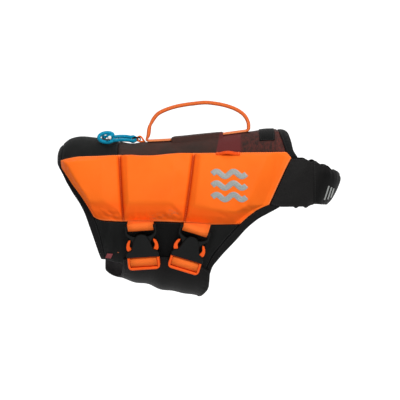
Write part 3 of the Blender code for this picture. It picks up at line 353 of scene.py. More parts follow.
def evenly(points, count):
    """A smooth line through points, as points at even steps along it."""
    return smooth_line(points, np.linspace(0, lengths(points)[-1], count))


def bump(at, middle, half):
    """1 at the middle and 0 from half away, smooth between."""
    t = np.clip(np.abs(np.asarray(at, float) - middle) / half, 0, 1)
    return (1 - t * t) ** 2


def ramp(distance, width):
    """0 at a seam, rising to 1 at width from it: a straight bevel with a rounded top."""
    t = np.clip(distance / width, 0, 1)
    return t * (1.25 - 0.25 * t**4)


def finer(shares, times):
    """Shares with each step between two of them cut into equal parts."""
    count = (len(shares) - 1) * times + 1
    return np.interp(np.linspace(0, len(shares) - 1, count), range(len(shares)), shares)


def ripple(at, seed=0.0):
    """An uneven wave of about -1 to 1: the gathers that thread draws into cloth."""
    at = np.asarray(at, float)
    return (
        0.5 * np.sin(at / 1.15 + seed)
        + 0.3 * np.sin(at / 1.83 + 2.1 * seed + 1.0)
        + 0.35 * np.sin(at / 3.1 + 0.7 * seed + 2.4)
    )


# ---------------------------------------------------------------- the figure's surface


def section(x):
    """The middle level, half height and half width of the figure's section at x."""
    crown, keel, half = table(x, SECTIONS)
    return (crown + keel) / 2, (crown - keel) / 2, half


def bare_body(x, angle):
    """Points of the figure: angle 0 on the spine, 90 on the near side, 180 below."""
    x, angle = np.broadcast_arrays(np.asarray(x, float), np.asarray(angle, float))
    middle, tall, half = section(x)
    side, up = np.sin(np.radians(angle)), np.cos(np.radians(angle))
    reach = (np.abs(side / half) ** ROUNDNESS + np.abs(up / tall) ** ROUNDNESS) ** (-1 / ROUNDNESS)
    return stack(x, -reach * side, middle + reach * up)


def outward(x, angle):
    along = bare_body(x + NEARBY, angle) - bare_body(x - NEARBY, angle)
    around = bare_body(x, angle + NEARBY) - bare_body(x, angle - NEARBY)
    return unit(np.cross(around, along))


def drape(x, angle):
    """How far the cloth stands off the figure: sags of the belly, folds of the flaps."""
    turn = np.abs((np.asarray(angle, float) + 180) % 360 - 180)
    low = np.clip((turn - BELLY_FROM) / BELLY_FADE, 0, 1)
    sag = sum(
        height * np.sin((x - start) / length + (turn / slant if slant else 0.0))
        for start, length, slant, height in BELLY_SAGS
    )
    fold = sum(height * bump(x, place, half) for place, half, height in FLANK_FOLDS)
    return low * sag + fold * bump(turn, FLANK_ANGLE, FLANK_SPREAD)


def body(x, angle, off=0.0):
    x, angle = np.broadcast_arrays(np.asarray(x, float), np.asarray(angle, float))
    lift = np.asarray(off, float) + drape(x, angle)
    return bare_body(x, angle) + outward(x, angle) * lift[..., None]


def angle_at(x, z):
    """The angle of the near side's point that is seen at x and z from the side."""
    middle, tall, half = section(np.asarray(x, float))
    level = np.clip((np.asarray(z, float) - middle) / tall, -1, 1)
    across = half * (1 - np.abs(level) ** ROUNDNESS) ** (1 / ROUNDNESS)
    return np.degrees(np.arctan2(across, level * tall))


def edge(rows, shares=None):
    """A seam as a function of its share of length, giving x and the angle."""
    x = np.array([row[0] for row in rows])
    angle = np.array([0.0 if z is None else float(angle_at(a, z)) for a, z in rows])
    if shares is None:
        along = lengths(bare_body(x, angle))
        shares, read = along / along[-1], smooth
    else:
        read = np.interp
    return lambda t: stack(read(t, shares, x), read(t, shares, angle))


def line_at(rows):
    """A seam as a function of x, giving x and the angle."""
    return lambda x: stack(np.asarray(x, float), angle_at(x, table(x, rows)[0]))


def between(first, second, shares):
    """Rows from one line to another."""
    return first[:, None] + (second - first)[:, None] * np.asarray(shares)[None, :, None]


def coons(rear, front, top, bottom):
    """A patch of (x, angle) inside four edges, each an array of points."""
    u = np.linspace(0, 1, len(top))[:, None, None]
    v = np.linspace(0, 1, len(rear))[None, :, None]
    across = rear[None] * (1 - u) + front[None] * u
    down = top[:, None] * (1 - v) + bottom[:, None] * v
    corners = (
        top[0] * (1 - u) * (1 - v)
        + top[-1] * u * (1 - v)
        + bottom[0] * (1 - u) * v
        + bottom[-1] * u * v
    )
    return across + down - corners


def on_body(patch, off=0.0):
    return body(patch[..., 0], patch[..., 1], off)


def over_spine(rows):
    """The near side's rows of (x, angle), from the spine down, with the far side's."""
    far = rows[:0:-1] * np.array([1.0, -1.0])
    return np.concatenate([far, rows])


def over_spine_at(half, share):
    """Points of an edge over the spine, at shares of its whole length."""
    t = 2 * share - 1
    return half(np.abs(t)) * stack(np.ones_like(t), np.sign(t))


def spine_point(x, across, off):
    """A point over the back, across millimetres from the spine."""
    x, across = np.broadcast_arrays(np.asarray(x, float), np.asarray(across, float))
    _, tall, half = section(x)
    rise = tall * (1 - np.abs(across / half) ** ROUNDNESS) ** (1 / ROUNDNESS)
    return body(x, np.degrees(np.arctan2(across, rise)), off)


# ---------------------------------------------------------------- materials


class Finish:
    """One material, with short calls that add its nodes."""

    def __init__(self, name, colour, roughness, **sockets):
        self.material = bpy.data.materials.new(name)
        self.material.use_nodes = True
        self.material.diffuse_color = (*colour, 1.0)
        self.tree = self.material.node_tree
        self.shader = self.tree.nodes["Principled BSDF"]
        self.shader.inputs["Base Color"].default_value = (*colour, 1.0)
        self.shader.inputs["Roughness"].default_value = roughness
        for socket, value in sockets.items():
            self.shader.inputs[socket.replace("_", " ")].default_value = value

    def link(self, source, target):
        self.tree.links.new(source, target)

    def node(self, kind, settings=(), **inputs):
        """A node whose inputs are numbers, vectors or other nodes' outputs."""
        made = self.tree.nodes.new("ShaderNode" + kind)
        for name, value in dict(settings).items():
            setattr(made, name, value)
        for name, value in inputs.items():
            socket = made.inputs[int(name[1:]) if name[1:].isdigit() else name.replace("_", " ")]
            if isinstance(value, bpy.types.NodeSocket):
                self.link(value, socket)
            else:
                socket.default_value = value
        return made

    def math(self, operation, *values):
        inputs = {f"i{i}": value for i, value in enumerate(values)}
        return self.node("Math", {"operation": operation}, **inputs).outputs[0]

    def times(self, first, second):
        return self.math("MULTIPLY", first, second)

    def plus(self, first, second):
        return self.math("ADD", first, second)

    def minus(self, first, second):
        return self.math("SUBTRACT", first, second)

    def mix(self, share, first, second):
        first, second = (
            (*c, 1.0) if isinstance(c, tuple) and len(c) == 3 else c for c in (first, second)
        )
        made = self.node("Mix", {"data_type": "RGBA"}, i0=share, i6=first, i7=second)
        return made.outputs[2]

    def place(self):
        """Where a point is on the object, in metres."""
        return self.node("TexCoord").outputs["Object"]

    def cloth_place(self):
        """Metres along and across the cloth."""
        return self.node("UVMap", {"uv_map": "cloth"}).outputs[0]

    def tone(self, name):
        """A number from 0 to 1 that the mesh carries at each of its points."""
        return self.node("Attribute", {"attribute_name": name}).outputs["Fac"]

    def split(self, vector):
        return self.node("SeparateXYZ", Vector=vector).outputs

    def noise(self, vector, scale, detail=3.0, stretch=(1.0, 1.0, 1.0), roughness=0.5):
        at = self.node("Mapping", Vector=vector, Scale=stretch).outputs[0]
        made = self.node("TexNoise", Vector=at, Scale=scale, Detail=detail, Roughness=roughness)
        return made.outputs[0]

    def between(self, value, low, high, to_low=0.0, to_high=1.0):
        """A value spread from one range to another, smooth at both ends."""
        made = self.node(
            "MapRange", {"interpolation_type": "SMOOTHSTEP"}, Value=value,
            From_Min=low, From_Max=high, To_Min=to_low, To_Max=to_high,
        )
        return made.outputs[0]

    def wave(self, value, pitch):
        return self.math("SINE", self.times(value, 2 * math.pi / pitch))

    def weave(self, pitch):
        """Threads over and under each other, as a height of about -1 to 1."""
        along, across, _ = self.split(self.cloth_place())
        return self.times(self.wave(along, pitch), self.wave(across, pitch))

    def colour(self, socket):
        self.link(socket, self.shader.inputs["Base Color"])

    def rough(self, socket):
        self.link(socket, self.shader.inputs["Roughness"])

    def uneven(self, scale, depth, strength):
        """Soft hollows and swells, finer with a greater scale."""
        self.bump(self.noise(self.place(), scale, 4.0), depth, strength)

    def bump(self, height, depth, strength=1.0):
        """Adds a height, in units of depth metres, over the bumps already there."""
        target = self.shader.inputs["Normal"]
        made = self.node("Bump", Height=height, Distance=depth, Strength=strength)
        if target.is_linked:
            self.link(target.links[0].from_socket, made.inputs["Normal"])
        self.link(made.outputs[0], target)


ORANGE, ORANGE_DEEP = (0.93, 0.155, 0.011), (0.88, 0.118, 0.006)
# Painted light on the float's cover: shade in its grooves, then a highlight along its seams.
GROOVE_SHADE_ORANGE, SEAM_HIGHLIGHT_ORANGE = (0.44, 0.03, 0.002), (1.0, 0.3, 0.09)
# Redder painted shade, for the low slopes of the float.
SLOPE_SHADE_ORANGE = (1.0, 0.115, 0.008)
SCUFF_BROWN = (0.4, 0.15, 0.07)
SLOPE_SHADE_SHARE, SEAM_HIGHLIGHT_SHARE, SCUFF_SHARE = 0.6, 0.6, 0.6  # how much of each colour shows
# Scuffed places: x, z, and half their width and height.
SCUFFS = ((-17.0, -104.0, 17.0, 9.0), (6.0, -98.0, 12.0, 9.0), (-84.0, -104.0, 14.0, 6.0))


def float_cloth():
    """Coated plain-weave cloth with a soft sheen, scuffed low on the near side, with painted shade
    in its grooves and on its low slopes and a painted highlight along its seams.
    """
    f = Finish("float_orange", ORANGE, 0.5, Specular_IOR_Level=0.07)
    cloudy = f.noise(f.place(), 14.0, 4.0)
    shade = f.mix(f.between(cloudy, 0.35, 0.7, 0.0, 0.5), ORANGE, ORANGE_DEEP)
    x, y, z = f.split(f.place())
    worn = 0.0
    for place_x, place_z, half_x, half_z in SCUFFS:
        away = 0.0
        for at, place, half in ((x, place_x, half_x), (z, place_z, half_z)):
            off = f.math("DIVIDE", f.minus(at, place * MM), half * MM)
            away = f.plus(f.times(off, off), away)
        worn = f.math("MAXIMUM", worn, f.between(away, 1.0, 0.1))
    near = f.between(y, 0.0, -0.02)
    grime = f.between(f.noise(f.place(), 190.0, 6.0, roughness=0.7), 0.48, 0.72)
    worn = f.times(f.times(worn, near), grime)
    # painted shade, redder, on the low slopes
    shade = f.mix(f.times(f.tone("slope"), SLOPE_SHADE_SHARE), shade, SLOPE_SHADE_ORANGE)
    # painted shade in the grooves
    shade = f.mix(f.tone("groove"), shade, GROOVE_SHADE_ORANGE)
    # a painted highlight along the seams
    shade = f.mix(f.times(f.tone("seam"), SEAM_HIGHLIGHT_SHARE), shade, SEAM_HIGHLIGHT_ORANGE)
    f.colour(f.mix(f.times(worn, SCUFF_SHARE), shade, SCUFF_BROWN))
    f.rough(f.between(f.noise(f.place(), 60.0), 0.3, 0.7, 0.44, 0.58))
    f.uneven(45.0, 0.0008, 0.35)
    f.bump(f.weave(0.0009), 0.00008, 0.6)
    return f.material


def black_cloth(name, colour, pitch, depth):
    """Plain-weave black cloth with a faint dusty variation, and painted shade where the mesh's
    tone dark says.
    """
    f = Finish(name, colour, 0.62, Specular_IOR_Level=0.08)
    dusty = f.between(f.noise(f.place(), 26.0, 5.0), 0.4, 0.75)
    lighter = tuple(1.6 * c + 0.001 for c in colour)
    shaded = tuple(0.22 * c for c in colour)
    f.colour(f.mix(f.tone("dark"), f.mix(dusty, colour, lighter), shaded))
    f.uneven(55.0, 0.0006, 0.35)
    f.bump(f.weave(pitch), depth, 0.7)
    return f.material


def neoprene():
    """Knit-faced neoprene: fine ribs under a soft grain."""
    f = Finish("neoprene_black", (0.009, 0.0085, 0.0083), 0.62, Specular_IOR_Level=0.08)
    grain = f.noise(f.place(), 900.0, 2.0)
    shade = f.mix(f.between(grain, 0.4, 0.8), (0.007, 0.0066, 0.0065), (0.014, 0.0132, 0.0128))
    # Darker by the mesh's tone dark: painted shade on the collar's strap, and the whole belly
    # panel a little darker.
    f.colour(f.mix(f.tone("dark"), shade, (0.0012, 0.0012, 0.0012)))
    _, across, _ = f.split(f.cloth_place())
    f.uneven(40.0, 0.0009, 0.4)
    f.bump(f.wave(across, 0.0013), 0.00006, 0.6)
    f.bump(grain, 0.0001, 0.5)
    return f.material


def edge_tape():
    """Elastic tape: close ribs across it."""
    f = Finish("tape_black", (0.005, 0.005, 0.0052), 0.6, Specular_IOR_Level=0.08)
    along, across, _ = f.split(f.cloth_place())
    f.bump(f.wave(along, 0.0012), 0.0001, 0.7)
    f.bump(f.wave(across, 0.0021), 0.00006, 0.5)
    f.colour(f.mix(f.noise(f.place(), 300.0), (0.0035, 0.0035, 0.0037), (0.0075, 0.0075, 0.0075)))
    return f.material


BROWN, BROWN_WARM, BROWN_DARK = (0.034, 0.021, 0.017), (0.054, 0.023, 0.018), (0.014, 0.012, 0.011)
DULL_RED, SPECK_RED = (0.105, 0.02, 0.02), (0.13, 0.026, 0.021)
RED_FROM, RED_SLANT, RED_TO, REDDER = 67.4, 0.21, 99.5, (140.0, 158.0)  # places along the back


def back_print():
    """Dark brown print with a dull red patch towards the neck, then fine upright specks."""
    f = Finish("back_print", BROWN, 0.58, Specular_IOR_Level=0.06)
    x, _, z = f.split(f.place())
    cloudy = f.between(f.noise(f.place(), 22.0, 5.0, roughness=0.6), 0.36, 0.66)
    fine = f.noise(f.place(), 330.0, 4.0, stretch=(1.0, 0.3, 0.3), roughness=0.7)
    brown = f.mix(cloudy, BROWN, BROWN_WARM)
    brown = f.mix(f.between(fine, 0.35, 0.75, 0.0, 0.35), brown, BROWN_DARK)
    slanted = f.minus(x, f.times(z, RED_SLANT))
    patch = f.between(slanted, (RED_FROM - 0.8) * MM, (RED_FROM + 0.8) * MM)
    after = f.between(x, (RED_TO - 2.5) * MM, (RED_TO + 2.5) * MM)
    red = f.between(fine, 0.4, 0.6, 0.1, 0.6)
    redder = f.between(x, REDDER[0] * MM, REDDER[1] * MM, 0.0, 0.35)
    specks = f.mix(f.plus(red, redder), BROWN_DARK, SPECK_RED)
    specks = f.mix(f.between(f.noise(f.place(), 520.0, 2.0), 0.4, 0.6, 0.0, 0.6), specks, BROWN)
    shade = f.mix(patch, brown, DULL_RED)
    f.colour(f.mix(after, shade, specks))
    f.uneven(50.0, 0.0006, 0.35)
    f.bump(f.weave(0.0009), 0.00007, 0.6)
    return f.material


def webbing(name, colour, dark):
    """Woven webbing: chevron ribs along it, with darker gaps between the yarns."""
    f = Finish(name, colour, 0.62, Specular_IOR_Level=0.06)
    along, across, _ = f.split(f.cloth_place())
    zigzag = f.math("PINGPONG", across, 0.0032)
    yarn = f.wave(f.plus(along, zigzag), 0.0019)
    f.colour(f.mix(f.between(yarn, 0.1, -0.95, 0.0, 0.6), colour, dark))
    f.bump(yarn, 0.00022, 0.8)
    f.bump(f.wave(across, 0.0008), 0.00005, 0.4)
    return f.material


def plastic(name, colour, roughness):
    """Moulded plastic with a fine grain and a few soft scratches."""
    f = Finish(name, colour, roughness, Specular_IOR_Level=0.11)
    scratches = f.noise(f.place(), 160.0, 6.0, stretch=(1.0, 1.0, 0.2), roughness=0.7)
    f.rough(f.between(scratches, 0.35, 0.75, roughness - 0.05, roughness + 0.14))
    f.bump(f.noise(f.place(), 1500.0, 2.0), 0.00003, 0.5)
    return f.material


def braid():
    """Braided cord: yarns that cross both ways round it, with lighter flecks."""
    blue, deep, light = (0.003, 0.33, 0.54), (0.002, 0.14, 0.25), (0.008, 0.45, 0.66)
    f = Finish("cord_blue", blue, 0.55, Specular_IOR_Level=0.1)
    along, around, _ = f.split(f.cloth_place())
    right = f.wave(f.plus(along, around), 0.0022)
    left = f.wave(f.minus(along, around), 0.0022)
    yarn = f.times(right, left)
    shade = f.mix(f.between(yarn, -0.7, 0.5), deep, blue)
    f.colour(f.mix(f.between(f.noise(f.place(), 500.0), 0.55, 0.7), shade, light))
    f.bump(yarn, 0.0002, 0.8)
    return f.material


def reflective():
    """Grey reflective transfer, with a fine glassy grain."""
    f = Finish("reflective_grey", (0.26, 0.27, 0.26), 0.45, Metallic=0.2)
    grain = f.noise(f.place(), 1400.0, 2.0)
    f.colour(f.mix(f.between(grain, 0.3, 0.7), (0.2, 0.21, 0.2), (0.33, 0.345, 0.33)))
    f.bump(grain, 0.00004, 0.6)
    return f.material


def thread(name, colour):
    f = Finish(name, colour, 0.55, Specular_IOR_Level=0.25)
    f.bump(f.noise(f.place(), 2400.0, 1.0), 0.00005, 0.5)
    return f.material


FINISHES = {
    "float_orange": float_cloth(),
    "shell_black": black_cloth("shell_black", (0.0054, 0.0058, 0.0056), 0.0009, 0.00008),
    # Lighter than the shell's black, so that the shaded inside shows: painted light on the inner
    # faces.
    "lit_lining": black_cloth("lit_lining", (0.03, 0.0275, 0.028), 0.0012, 0.00008),
    "label_black": black_cloth("label_black", (0.0022, 0.002, 0.002), 0.0009, 0.00006),
    # Lighter still, for the inside of the belly panel: painted light.
    "lit_belly_lining": black_cloth("lit_belly_lining", (0.085, 0.08, 0.082), 0.0014, 0.0001),
    "neoprene_black": neoprene(),
    "tape_black": edge_tape(),
    "back_print": back_print(),
    "webbing_orange": webbing("webbing_orange", (1.0, 0.19, 0.028), (0.72, 0.09, 0.012)),
    "webbing_handle": webbing("webbing_handle", (0.86, 0.185, 0.045), (0.55, 0.08, 0.015)),
    # A lighter copy of the handle webbing for its flat feet, which face up: painted light.
    "webbing_painted_light": webbing("webbing_painted_light", (0.93, 0.3, 0.12), (0.7, 0.14, 0.04)),
    "webbing_deep": webbing("webbing_deep", (0.87, 0.085, 0.006), (0.5, 0.03, 0.004)),
    "tab_red": webbing("tab_red", (0.4, 0.1, 0.11), (0.14, 0.03, 0.03)),
    "plastic_orange": plastic("plastic_orange", (0.93, 0.108, 0.01), 0.36),
    "plastic_black": plastic("plastic_black", (0.0016, 0.0019, 0.0018), 0.42),
    "cord_blue": braid(),
    "cord_end": plastic("cord_end", (0.75, 0.77, 0.74), 0.4),
    "reflective_grey": reflective(),
    "thread_black": thread("thread_black", (0.02, 0.02, 0.02)),
    "thread_orange": thread("thread_orange", (0.93, 0.25, 0.07)),
}

# ---------------------------------------------------------------- meshes

SURFACES = {}  # the shells that later pieces lie on
FAR = np.array([1.0, -1.0, 1.0])  # what turns the near side's points into the far side's
SIDES = (("right", False), ("left", True))


def normals(grid):
    """Unit normals of a grid of points, facing away from the jacket's axis."""
    normal = unit(np.cross(np.gradient(grid, axis=0), np.gradient(grid, axis=1)))
    middle = grid[grid.shape[0] // 2, grid.shape[1] // 2]
    away = grid - np.array([middle[0], 0.0, AXIS_LEVEL])
    return normal * np.sign(np.sum(normal * away))


def margins(grid):
    """Each point's distances from the grid's left, right, top and bottom sides."""
    across = np.stack([lengths(grid[:, j]) for j in range(grid.shape[1])], axis=1)
    down = np.stack([lengths(row) for row in grid], axis=0)
    return across, across[-1:] - across, down, down[:, -1:] - down


def mesh_object(name, points, faces, finishes, marks=None, places=None):
    """An object of points in mm, with a finish for each face and cloth places in mm."""
    data = bpy.data.meshes.new(name)
    data.from_pydata((np.asarray(points) * MM).tolist(), [], faces)
    for finish in finishes:
        data.materials.append(FINISHES[finish])
    if marks is not None:
        data.polygons.foreach_set("material_index", np.asarray(marks, np.int32))
    if places is not None:
        layer = data.uv_layers.new(name="cloth")
        corners = np.empty(len(data.loops), np.int32)
        data.loops.foreach_get("vertex_index", corners)
        layer.data.foreach_set("uv", (np.asarray(places)[corners] * MM).ravel())
    data.shade_smooth()
    data.validate()
    obj = placed(name, data)
    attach(obj, "root")
    return obj


EDGE_ROLL = 1.3  # how far in from its edge a cloth wall starts to round off
EDGE_FLOOR = 0.45  # the share of its thickness left at the edge itself
RIM_PUSH = 0.16  # how far the middle of a rim stands out past its edge


def shell(
    name, grid, thick, finish, lit_lining=None, lift=0.0, relief=0.0, far=False, node=True, tones=()
):
    """A closed cloth wall, from a grid on its inner face out to its thickness.

    lift moves both faces outwards and relief the outer one alone, point by point.
    tones names fields of the outer face that its finish reads.
    Returns the object, and the points and normals of its outer face.
    """
    normal = normals(grid)
    spread = lambda value: np.broadcast_to(value, grid.shape[:2])[..., None]
    near_edge = np.min(margins(grid), axis=0)
    inside = np.clip(near_edge / EDGE_ROLL, 0, 1)
    roll = EDGE_FLOOR + (1 - EDGE_FLOOR) * np.sqrt(1 - (1 - inside) ** 2)
    inner = grid + normal * spread(lift)
    outer = inner + normal * (spread(thick) * roll[..., None] + spread(relief))
    count, rows = grid.shape[:2]
    ids = np.arange(count * rows).reshape(count, rows)
    loop = np.concatenate([ids[:, 0], ids[-1, 1:], ids[-2::-1, -1], ids[0, -2:0:-1]])
    i, j = loop // rows, loop % rows
    inward = grid[np.clip(i, 1, count - 2), np.clip(j, 1, rows - 2)]
    rim = (outer[i, j] + inner[i, j]) / 2 + unit(grid[i, j] - inward) * RIM_PUSH
    quads = stack(ids[:-1, :-1], ids[1:, :-1], ids[1:, 1:], ids[:-1, 1:]).reshape(-1, 4)
    base = count * rows
    ring = 2 * base + np.arange(len(loop))
    ring_next, loop_next = np.roll(ring, -1), np.roll(loop, -1)
    sides = [
        stack(loop_next, loop, ring, ring_next),
        stack(ring_next, ring, loop + base, loop_next + base),
    ]
    faces = np.concatenate([quads, quads[:, ::-1] + base, *sides])
    turned = np.cross(grid[1, 0] - grid[0, 0], grid[0, 1] - grid[0, 0])
    if (np.dot(turned, normal[0, 0]) < 0) != far:
        faces = faces[:, ::-1]
    points = np.concatenate([outer.reshape(-1, 3), inner.reshape(-1, 3), rim])
    across, _, down, _ = margins(grid)
    flat = stack(across, down).reshape(-1, 2)
    places = np.concatenate([flat, flat, flat[loop]])
    marks = np.zeros(len(faces), int)
    if lit_lining:
        marks[len(quads) : 2 * len(quads)] = 1
    if far:
        points = points * FAR
    finishes = [finish, lit_lining] if lit_lining else [finish]
    obj = mesh_object(name + "_shell", points, faces.tolist(), finishes, marks, places)
    for tone, field in dict(tones).items():
        values = np.zeros(len(points))
        values[:base] = np.broadcast_to(field, grid.shape[:2]).ravel()
        obj.data.attributes.new(tone, "FLOAT", "POINT").data.foreach_set("value", values)
    if node:
        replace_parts(obj, name)
    return obj, outer, normal


ODD_WAY = (0.3, 0.2, 0.93)  # along no bar, so that it gives each one a side to start from


def bar(name, line, radius, finish, sides=12, closed=False):
    """A round bar along smooth points, with domed ends, or closed on itself.

    radius may change along it. Returns the object.
    """
    line = np.asarray(line, float)
    radius = np.broadcast_to(np.asarray(radius, float), len(line))
    if not closed:
        dome = [(0.0, 0.02), (0.3, 0.6), (1.0, 1.0)]
        first, last = unit(line[0] - line[1]), unit(line[-1] - line[-2])
        heads = [line[0] + first * radius[0] * 0.5 * (1 - t) for t, _ in dome[:2]]
        tails = [line[-1] + last * radius[-1] * 0.5 * (1 - t) for t, _ in dome[1::-1]]
        widths = [radius[0] * s for _, s in dome[:2]]
        ends = [radius[-1] * s for _, s in dome[1::-1]]
        line = np.concatenate([heads, line, tails])
        radius = np.concatenate([widths, radius, ends])
        way = unit(np.gradient(line, axis=0))
    else:
        way = unit(np.roll(line, -1, axis=0) - np.roll(line, 1, axis=0))
    side = np.cross(way[0], ODD_WAY)
    frames = []
    for direction in way:
        side = unit(side - direction * np.dot(side, direction))
        frames.append((side, np.cross(direction, side)))
    across, up = (np.array(vectors) for vectors in zip(*frames))
    twist = 0.0
    if closed:
        back = side - way[0] * np.dot(side, way[0])
        twist = math.atan2(np.dot(back, up[0]), np.dot(back, across[0]))
    turn = full_turn(sides)[None, :]
    turn = turn - twist * np.linspace(0, 1, len(line))[:, None]
    ring = across[:, None] * np.cos(turn)[..., None] + up[:, None] * np.sin(turn)[..., None]
    points = (line[:, None] + ring * radius[:, None, None]).reshape(-1, 3)
    rows = len(line) if closed else len(line) - 1
    faces = []
    for i in range(rows):
        a, b = i * sides, (i + 1) % len(line) * sides
        faces += [(a + j, a + (j + 1) % sides, b + (j + 1) % sides, b + j) for j in range(sides)]
    if not closed:
        faces.append(tuple(range(sides))[::-1])
        faces.append(tuple(range(len(points) - sides, len(points))))
    along = lengths(line)
    around = np.abs((turn / (2 * math.pi) * 2 + 1) % 2 - 1) * math.pi * radius.max()
    places = stack(np.broadcast_to(along[:, None], turn.shape), around)
    return mesh_object(name + "_bar", points, faces, [finish], places=places.reshape(-1, 2))


# ---------------------------------------------------------------- stitches

STITCH_PITCH, STITCH_LENGTH, STITCH_THICK = 3.1, 2.3, 0.55
STITCH_SIDES = 5
STITCH_RISE = np.array([-0.25, 0.12, 0.2, 0.12, -0.25])  # of its middle line over the cloth
STITCH_WIDTHS = np.array([0.5, 0.95, 1.0, 0.95, 0.5])
SEWN = {"thread_black": [], "thread_orange": []}


def sew(thread, points, out, pitch=STITCH_PITCH, far=False):
    """Keeps a row of stitches along points on a surface, whose normals are out."""
    along = lengths(points)
    count = int((along[-1] - STITCH_LENGTH) / pitch)
    if count < 1:
        return
    starts = (along[-1] - (count - 1) * pitch - STITCH_LENGTH) / 2 + np.arange(count) * pitch
    at = starts[:, None] + np.linspace(0, STITCH_LENGTH, len(STITCH_RISE))[None, :]
    line, up = read_line(at, along, points), unit(read_line(at, along, out))
    line = line + up * STITCH_RISE[None, :, None]
    side = unit(np.cross(line[:, -1:] - line[:, :1], up))
    turn = full_turn(STITCH_SIDES)
    radius = (STITCH_THICK / 2 * STITCH_WIDTHS)[None, :, None, None]
    ring = side[:, :, None] * np.cos(turn)[:, None] + up[:, :, None] * np.sin(turn)[:, None]
    made = line[:, :, None] + ring * radius
    SEWN[thread].append(made * (FAR if far else 1.0))


def make_stitches():
    """One mesh for each thread, of all the rows that were kept."""
    for thread, rows in SEWN.items():
        rings = np.concatenate(rows)
        count, steps = rings.shape[:2]
        first = (np.arange(count * steps) * STITCH_SIDES).reshape(count, steps)
        j = np.arange(STITCH_SIDES)
        j_next = (j + 1) % STITCH_SIDES
        near, away = first[:, :-1, None], first[:, 1:, None]
        sides = stack(near + j, near + j_next, away + j_next, away + j)
        sides = sides.reshape(-1, 4).tolist()
        ends = (first[:, 0, None] + j[::-1]).tolist() + (first[:, -1, None] + j).tolist()
        name = "stitches_" + thread.split("_")[1]
        mesh_object(name, rings.reshape(-1, 3), sides + ends, [thread])


def inset(grid, out, side, distance):
    """Points and normals on a surface, at a distance in from its l, r, t or b side."""
    turned = {
        "t": lambda field: field,
        "b": lambda field: field[:, ::-1],
        "l": lambda field: field.swapaxes(0, 1),
        "r": lambda field: field[::-1].swapaxes(0, 1),
    }[side]
    points, way = turned(grid), turned(out)
    return [
        np.array([read_line(distance, lengths(row), field) for row, field in zip(points, fields)])
        for fields in (points, way)
    ]


def hem(thread, surface, sides, distance=2.0, far=False, pitch=STITCH_PITCH):
    """Rows of stitches along some sides of a shell."""
    _, outer, out = surface
    for side in sides:
        sew(thread, *inset(outer, out, side, distance), pitch=pitch, far=far)


# ---------------------------------------------------------------- creases

CREASE_FADE = 0.6  # an exponent: how abruptly a crease ends, 0 the most


def creases(points, rows):
    """Soft ridges, or troughs where their height is negative, at places seen from the side.

    Each row has x and z of its two ends, its bow, half its width and its height.
    """
    x, z = points[..., 0], points[..., 2]
    total = np.zeros(x.shape)
    for x0, z0, x1, z1, bow, half, height in rows:
        long = math.hypot(x1 - x0, z1 - z0)
        way_x, way_z = (x1 - x0) / long, (z1 - z0) / long
        along = ((x - x0) * way_x + (z - z0) * way_z) / long
        t = np.clip(along, 0, 1)
        away = (x - x0) * -way_z + (z - z0) * way_x - bow * 4 * t * (1 - t)
        past = (along - t) * long
        fade = np.clip(4 * t * (1 - t), 0, 1) ** CREASE_FADE
        total += height * fade * np.exp(-((away / half) ** 2) - (past / half) ** 2)
    return total


def gathers(along, away, depth, reach, seed=0.0, start=0.0):
    """The puckers beside a sewn line: depth high, fading over reach from it."""
    near = np.clip((away - start) / (0.3 * reach), 0, 1) * np.exp(-((away / reach) ** 2))
    return depth * near * ripple(along / 1.25, seed)


# ---------------------------------------------------------------- cloth panels

BACK_COUNT, BACK_ACROSS = 81, 97  # points along and across the front back panel
BACK_REAR_COUNT = 45
BACK_CREASES = (
    (-132.0, 0.0, -96.0, 0.0, 0.0, 9.0, -0.7),
    (-20.0, -8.0, 26.0, -12.0, 2.0, 4.0, -0.8),
)


def seam_x(rows):
    """Where a seam over the back lies, by the share of the way down to the float."""
    upper = [row for row in rows if row[1] is None or row[1] > -27.5]
    xs = np.array([row[0] for row in upper])
    angles = np.array([0.0 if z is None else float(angle_at(x, z)) for x, z in upper])
    shares = angles / line_at(FLOAT_TOP)(xs)[:, 1]
    shares[-1] = max(shares[-1], 1.0)
    return lambda t: smooth(t, shares, xs)


def back_patch(rear, front, count):
    """Places (x, angle) over the spine, from the far seam to the near one."""
    t = np.linspace(-1, 1, BACK_ACROSS)
    first, last = rear(np.abs(t)), front(np.abs(t))
    x = first[None, :] + (last - first)[None, :] * np.linspace(0, 1, count)[:, None]
    return stack(x, line_at(FLOAT_TOP)(x)[..., 1] * t[None, :])


def seamed(grid, sides="lrtb"):
    """The grid with its sides moved in by half the gap of a seam."""
    grid = grid.copy()
    pairs = {
        "l": (np.s_[0], np.s_[1]),
        "r": (np.s_[-1], np.s_[-2]),
        "t": (np.s_[:, 0], np.s_[:, 1]),
        "b": (np.s_[:, -1], np.s_[:, -2]),
    }
    for side in sides:
        rim, inner = pairs[side]
        grid[rim] += SEAM_GAP / 2 * unit(grid[inner] - grid[rim])
    return grid


def seam_relief(grid, depth, reach, seed):
    """Puckers along all four sides of a panel."""
    left, right, top, bottom = margins(grid)
    sides = ((top, left), (top, right), (left, top), (left, bottom))
    return sum(gathers(run, away, depth, reach, seed + k) for k, (run, away) in enumerate(sides))


def make_back():
    join = lambda t: np.full_like(t, BACK_JOIN)
    rear, front = seam_x(REAR_SEAM[:2]), seam_x(NECK_SEAM[:4])
    for name, patch, finish, seed in (
        ("back_rear", back_patch(rear, join, BACK_REAR_COUNT), "shell_black", 0.4),
        ("back_front", back_patch(join, front, BACK_COUNT), "back_print", 2.2),
    ):
        grid = seamed(on_body(patch))
        lift = 0.5 * seam_relief(grid, 0.7, 9.0, seed) + creases(grid, BACK_CREASES)
        made = shell(name, grid, CLOTH, finish, "lit_lining", lift=np.clip(lift, -0.6, 1.2))
        hem("thread_black", made, "lrtb", 2.2)
        cut(made[0])


